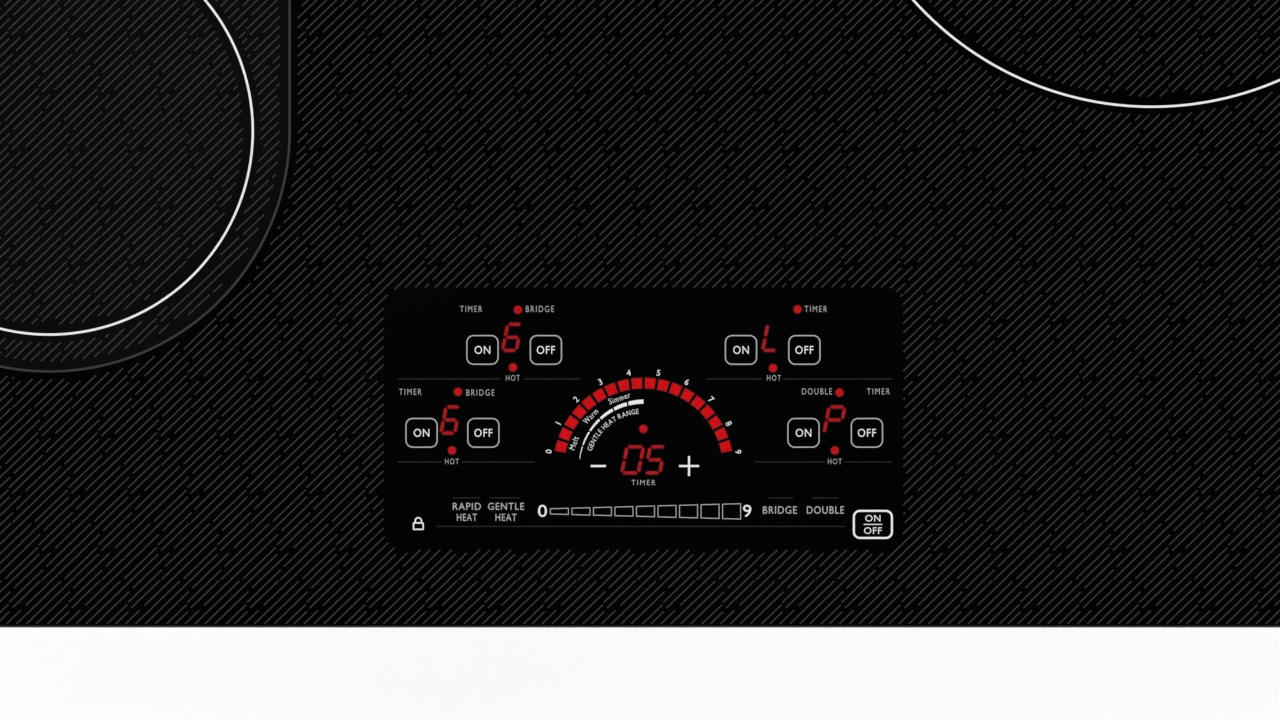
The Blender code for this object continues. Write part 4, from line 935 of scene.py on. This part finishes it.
# (share of the radius, share of the height) from the foot to the hollow in the middle of the head
RIVET_PROFILE = ((1.0, -0.2), (1.0, 0.15), (0.9, 0.5), (0.65, 0.85), (0.38, 1.0), (0.3, 0.75))
BOX_RIVET = (0.0030, 0.0012)  # radius and height
BOX_RIVET_INSET = 0.016  # from the end of the wall
BOX_RIVET_LEVELS = (0.018, 0.052)
BRACKET_RIVET = (0.0013, 0.0007)
BRACKET_FACE = 0.0015  # from the box wall to the outer face of a bracket
BRACKET_RIVET_ASIDE = 0.0073  # from the middle of the bracket
BRACKET_RIVET_INSETS = (0.0038, 0.0033)  # from its lower and upper ends, out of the arm's way


def rivet(work, place, out, radius, height):
    """A domed head with a small hollow, standing out from a wall along out."""
    turn = out.to_track_quat("Z", "Y")
    previous = None
    for share, level in RIVET_PROFILE:
        ring = []
        for i in range(RIVET_STEPS):
            angle = math.tau * i / RIVET_STEPS
            across = Vector((math.cos(angle), math.sin(angle), 0)) * share * radius
            ring.append(work.verts.new(place + turn @ (across + Vector((0, 0, level * height)))))
        if previous:
            for i in range(RIVET_STEPS):
                j = (i + 1) % RIVET_STEPS
                work.faces.new((previous[i], previous[j], ring[j], ring[i])).smooth = True
        else:
            work.faces.new(list(reversed(ring)))
        previous = ring
    work.faces.new(previous)


def rivets(name, places, size, look):
    work = bmesh.new()
    for place, out in places:
        rivet(work, Vector(place), Vector(out), *size)
    mesh = bpy.data.meshes.new(name)
    work.to_mesh(mesh)
    work.free()
    finished(name, mesh, look)


def box_rivets(look):
    """Two rivets down each corner of the box, on its front and rear walls."""
    low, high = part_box("burner_box")
    places = [
        ((x, y, z), (0, out, 0))
        for y, out in ((low.y, -1), (high.y, 1))
        for x in (low.x + BOX_RIVET_INSET, high.x - BOX_RIVET_INSET)
        for z in BOX_RIVET_LEVELS
    ]
    rivets("box_rivets", places, BOX_RIVET, look)


def bracket_rivets(look):
    """The rivets that hold each clamp bracket to the side of the box."""
    box_low, box_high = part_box("burner_box")
    for side, out, wall in (("left", -1, box_low.x), ("right", 1, box_high.x)):
        low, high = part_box(f"clamp_bracket_{side}")
        middle = (low.y + high.y) / 2
        levels = (low.z + BRACKET_RIVET_INSETS[0], high.z - BRACKET_RIVET_INSETS[1])
        places = [
            ((wall + out * BRACKET_FACE, middle + aside, z), (out, 0, 0))
            for aside in (-BRACKET_RIVET_ASIDE, BRACKET_RIVET_ASIDE) for z in levels
        ]
        rivets(f"bracket_rivets_{side}", places, BRACKET_RIVET, look)


# ---- Finish of the frame's own pieces -------------------------------------------------------
BOARD_TOP = 0.0077  # from the feet of a board's posts to just above its laminate
TOUCH_BOARD = 0.0017  # the same on the touch board, which has no posts


def frame_looks(zinc):
    """Materials for every node of the frame, found by the longest name that fits."""
    steel = galvanised_look()
    looks = {
        "worktop_gasket": foam_look(),
        "glass_frame": steel,
        "frame_screw": zinc,
        "burner_box": steel,
        "conduit_gland": plain("bush_plastic", grey(0.010), grey(0.020), 200.0, (0.42, 0.58)),
        "support_rail": steel,
        "coil_plate": brushed_look("rolled_aluminium", grey(0.60), grey(0.78), 0, (0.28, 0.42)),
        "coil_carrier": plain(
            "carrier_plastic", (0.055, 0.055, 0.058), (0.085, 0.085, 0.088), 250.0, (0.45, 0.6)),
        "insulation_mat": felt_look(),
        "pan_sensor": plain(
            "sensor_ceramic", (0.62, 0.60, 0.55), (0.76, 0.74, 0.69), 350.0, (0.4, 0.55)),
        "fan_housing": plain("fan_plastic", grey(0.018), grey(0.032), 220.0, (0.4, 0.56)),
        "fan_rotor": plain("rotor_plastic", grey(0.028), grey(0.045), 220.0, (0.36, 0.5)),
        "power_board": circuit_look("inverter_board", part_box("power_board_left")[0].z + BOARD_TOP),
        "filter_board": circuit_look("mains_filter_board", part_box("filter_board")[0].z + BOARD_TOP),
        "touch_board": circuit_look("touch_circuit_board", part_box("touch_board")[0].z + TOUCH_BOARD),
        "heatsink": brushed_look("extruded_aluminium", grey(0.50), grey(0.70), 1, (0.3, 0.44)),
        "terminal_block": plain(
            "terminal_plastic", (0.70, 0.68, 0.60), (0.80, 0.78, 0.71), 240.0, (0.4, 0.55)),
        "control_tray": plain("tray_plastic", grey(0.020), grey(0.034), 220.0, (0.45, 0.6)),
        "light_shield": plain("shield_plastic", grey(0.014), grey(0.024), 220.0, (0.6, 0.75)),
        "clamp": zinc,
    }
    for name, node in frame["nodes"].items():
        if name.startswith("winding"):
            low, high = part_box(name)
            look = winding_look(name + "_wire", (low + high) / 2)
        else:
            found = [key for key in looks if name.startswith(key)]
            look = looks[max(found, key=len)] if found else steel
        node.data.materials.clear()
        node.data.materials.append(look)


# ---- Stage ----------------------------------------------------------------------------------
FLOOR_GAP = 0.0005
VIEW_CENTRE = (-1.5, 117.0)  # mm, the middle of the picture on the glass
VIEW_WIDTH = 559.0
LENS = 85.0
SENSOR = 36.0
FLOOR_REACH = 40.0
LIGHT_SPREAD = math.radians(35)
LIGHT_DISTANCE = 3.0


def stage():
    floor = bpy.data.meshes.new("floor")
    work = bmesh.new()
    bmesh.ops.create_grid(work, x_segments=1, y_segments=1, size=FLOOR_REACH)
    work.to_mesh(floor)
    work.free()
    floor.materials.append(
        plain("pale_floor", grey(0.93), grey(0.95), 3.0, (0.7, 0.8), bump=(0.02, 0.05), fine=60.0))
    ground = bpy.data.objects.new("floor", floor)
    ground.location.z = -FLOOR_GAP
    bpy.context.scene.collection.objects.link(ground)


def world():
    """Soft light from the sides, with a darker sky overhead, as black glass is lit in a studio."""
    sky = bpy.data.worlds.new("studio")
    sky.use_nodes = True
    nodes, links = sky.node_tree.nodes, sky.node_tree.links
    place = nodes.new("ShaderNodeTexCoord")
    parts = nodes.new("ShaderNodeSeparateXYZ")
    ramp = nodes.new("ShaderNodeValToRGB")
    links.new(place.outputs["Generated"], parts.inputs["Vector"])
    links.new(parts.outputs["Z"], ramp.inputs["Fac"])
    links.new(ramp.outputs["Color"], nodes["Background"].inputs["Color"])
    stops = ((0.0, 0.91), (0.35, 0.81), (0.75, 0.39), (0.95, 0.006))
    while len(ramp.color_ramp.elements) < len(stops):
        ramp.color_ramp.elements.new(0.5)
    for element, (position, value) in zip(ramp.color_ramp.elements, stops):
        element.position = position
        element.color = (value, value, value, 1)
    bpy.context.scene.world = sky


def broad_light(name, azimuth, elevation, strength):
    """Even, soft light from one side, as from a large far softbox that doesn't mirror in the glass."""
    light = bpy.data.lights.new(name, "SUN")
    light.angle = LIGHT_SPREAD
    light.energy = strength
    lamp = bpy.data.objects.new(name, light)
    a, e = math.radians(azimuth), math.radians(elevation)
    towards = Vector((math.cos(a) * math.cos(e), math.sin(a) * math.cos(e), math.sin(e)))
    lamp.location = towards * LIGHT_DISTANCE
    lamp.rotation_euler = (-towards).to_track_quat("-Z", "Y").to_euler()
    lamp.visible_glossy = False
    bpy.context.scene.collection.objects.link(lamp)


def camera():
    lens = bpy.data.cameras.new("camera")
    lens.lens = LENS
    lens.sensor_width = SENSOR
    lens.clip_start = 0.01
    eye = bpy.data.objects.new("camera", lens)
    spot = at(*VIEW_CENTRE)
    eye.location = (spot.x, spot.y, TOP + VIEW_WIDTH * MM * LENS / SENSOR)
    bpy.context.scene.collection.objects.link(eye)
    bpy.context.scene.camera = eye


def main():
    camera()
    stage()
    world()
    broad_light("key_light", 222, 38, 1.9)
    broad_light("fill_light", 318, 38, 1.75)
    broad_light("rear_light", 90, 34, 1.05)
    bpy.context.scene.view_settings.view_transform = "Standard"

    zinc = plain(
        "zinc_plated", (0.42, 0.42, 0.40), (0.60, 0.60, 0.57), 300.0, (0.24, 0.36), metallic=1.0)
    frame_looks(zinc)
    white = ink_look("white_ink", (0.66, 0.66, 0.65))
    pale = ink_look("pale_ink", (0.34, 0.34, 0.34))
    dim = ink_look("grey_ink", (0.030, 0.030, 0.032))
    faint = ink_look("faint_ink", (0.016, 0.016, 0.017))
    glass_sheet(glass_look())
    zone_rings(white)
    bridge_outline(dim)
    hatch(dim)
    key_frames(pale)
    faint_rules(faint)
    panel_words(pale)
    bright_print(white)
    dial_print(white)
    lit_control()
    wire = brushed_look("spring_steel", grey(0.35), grey(0.5), 2, (0.25, 0.35))
    for side in ("left", "right"):
        for number in range(1, 5):
            spring(side, number, wire)
    box_rivets(zinc)
    bracket_rivets(zinc)


main()
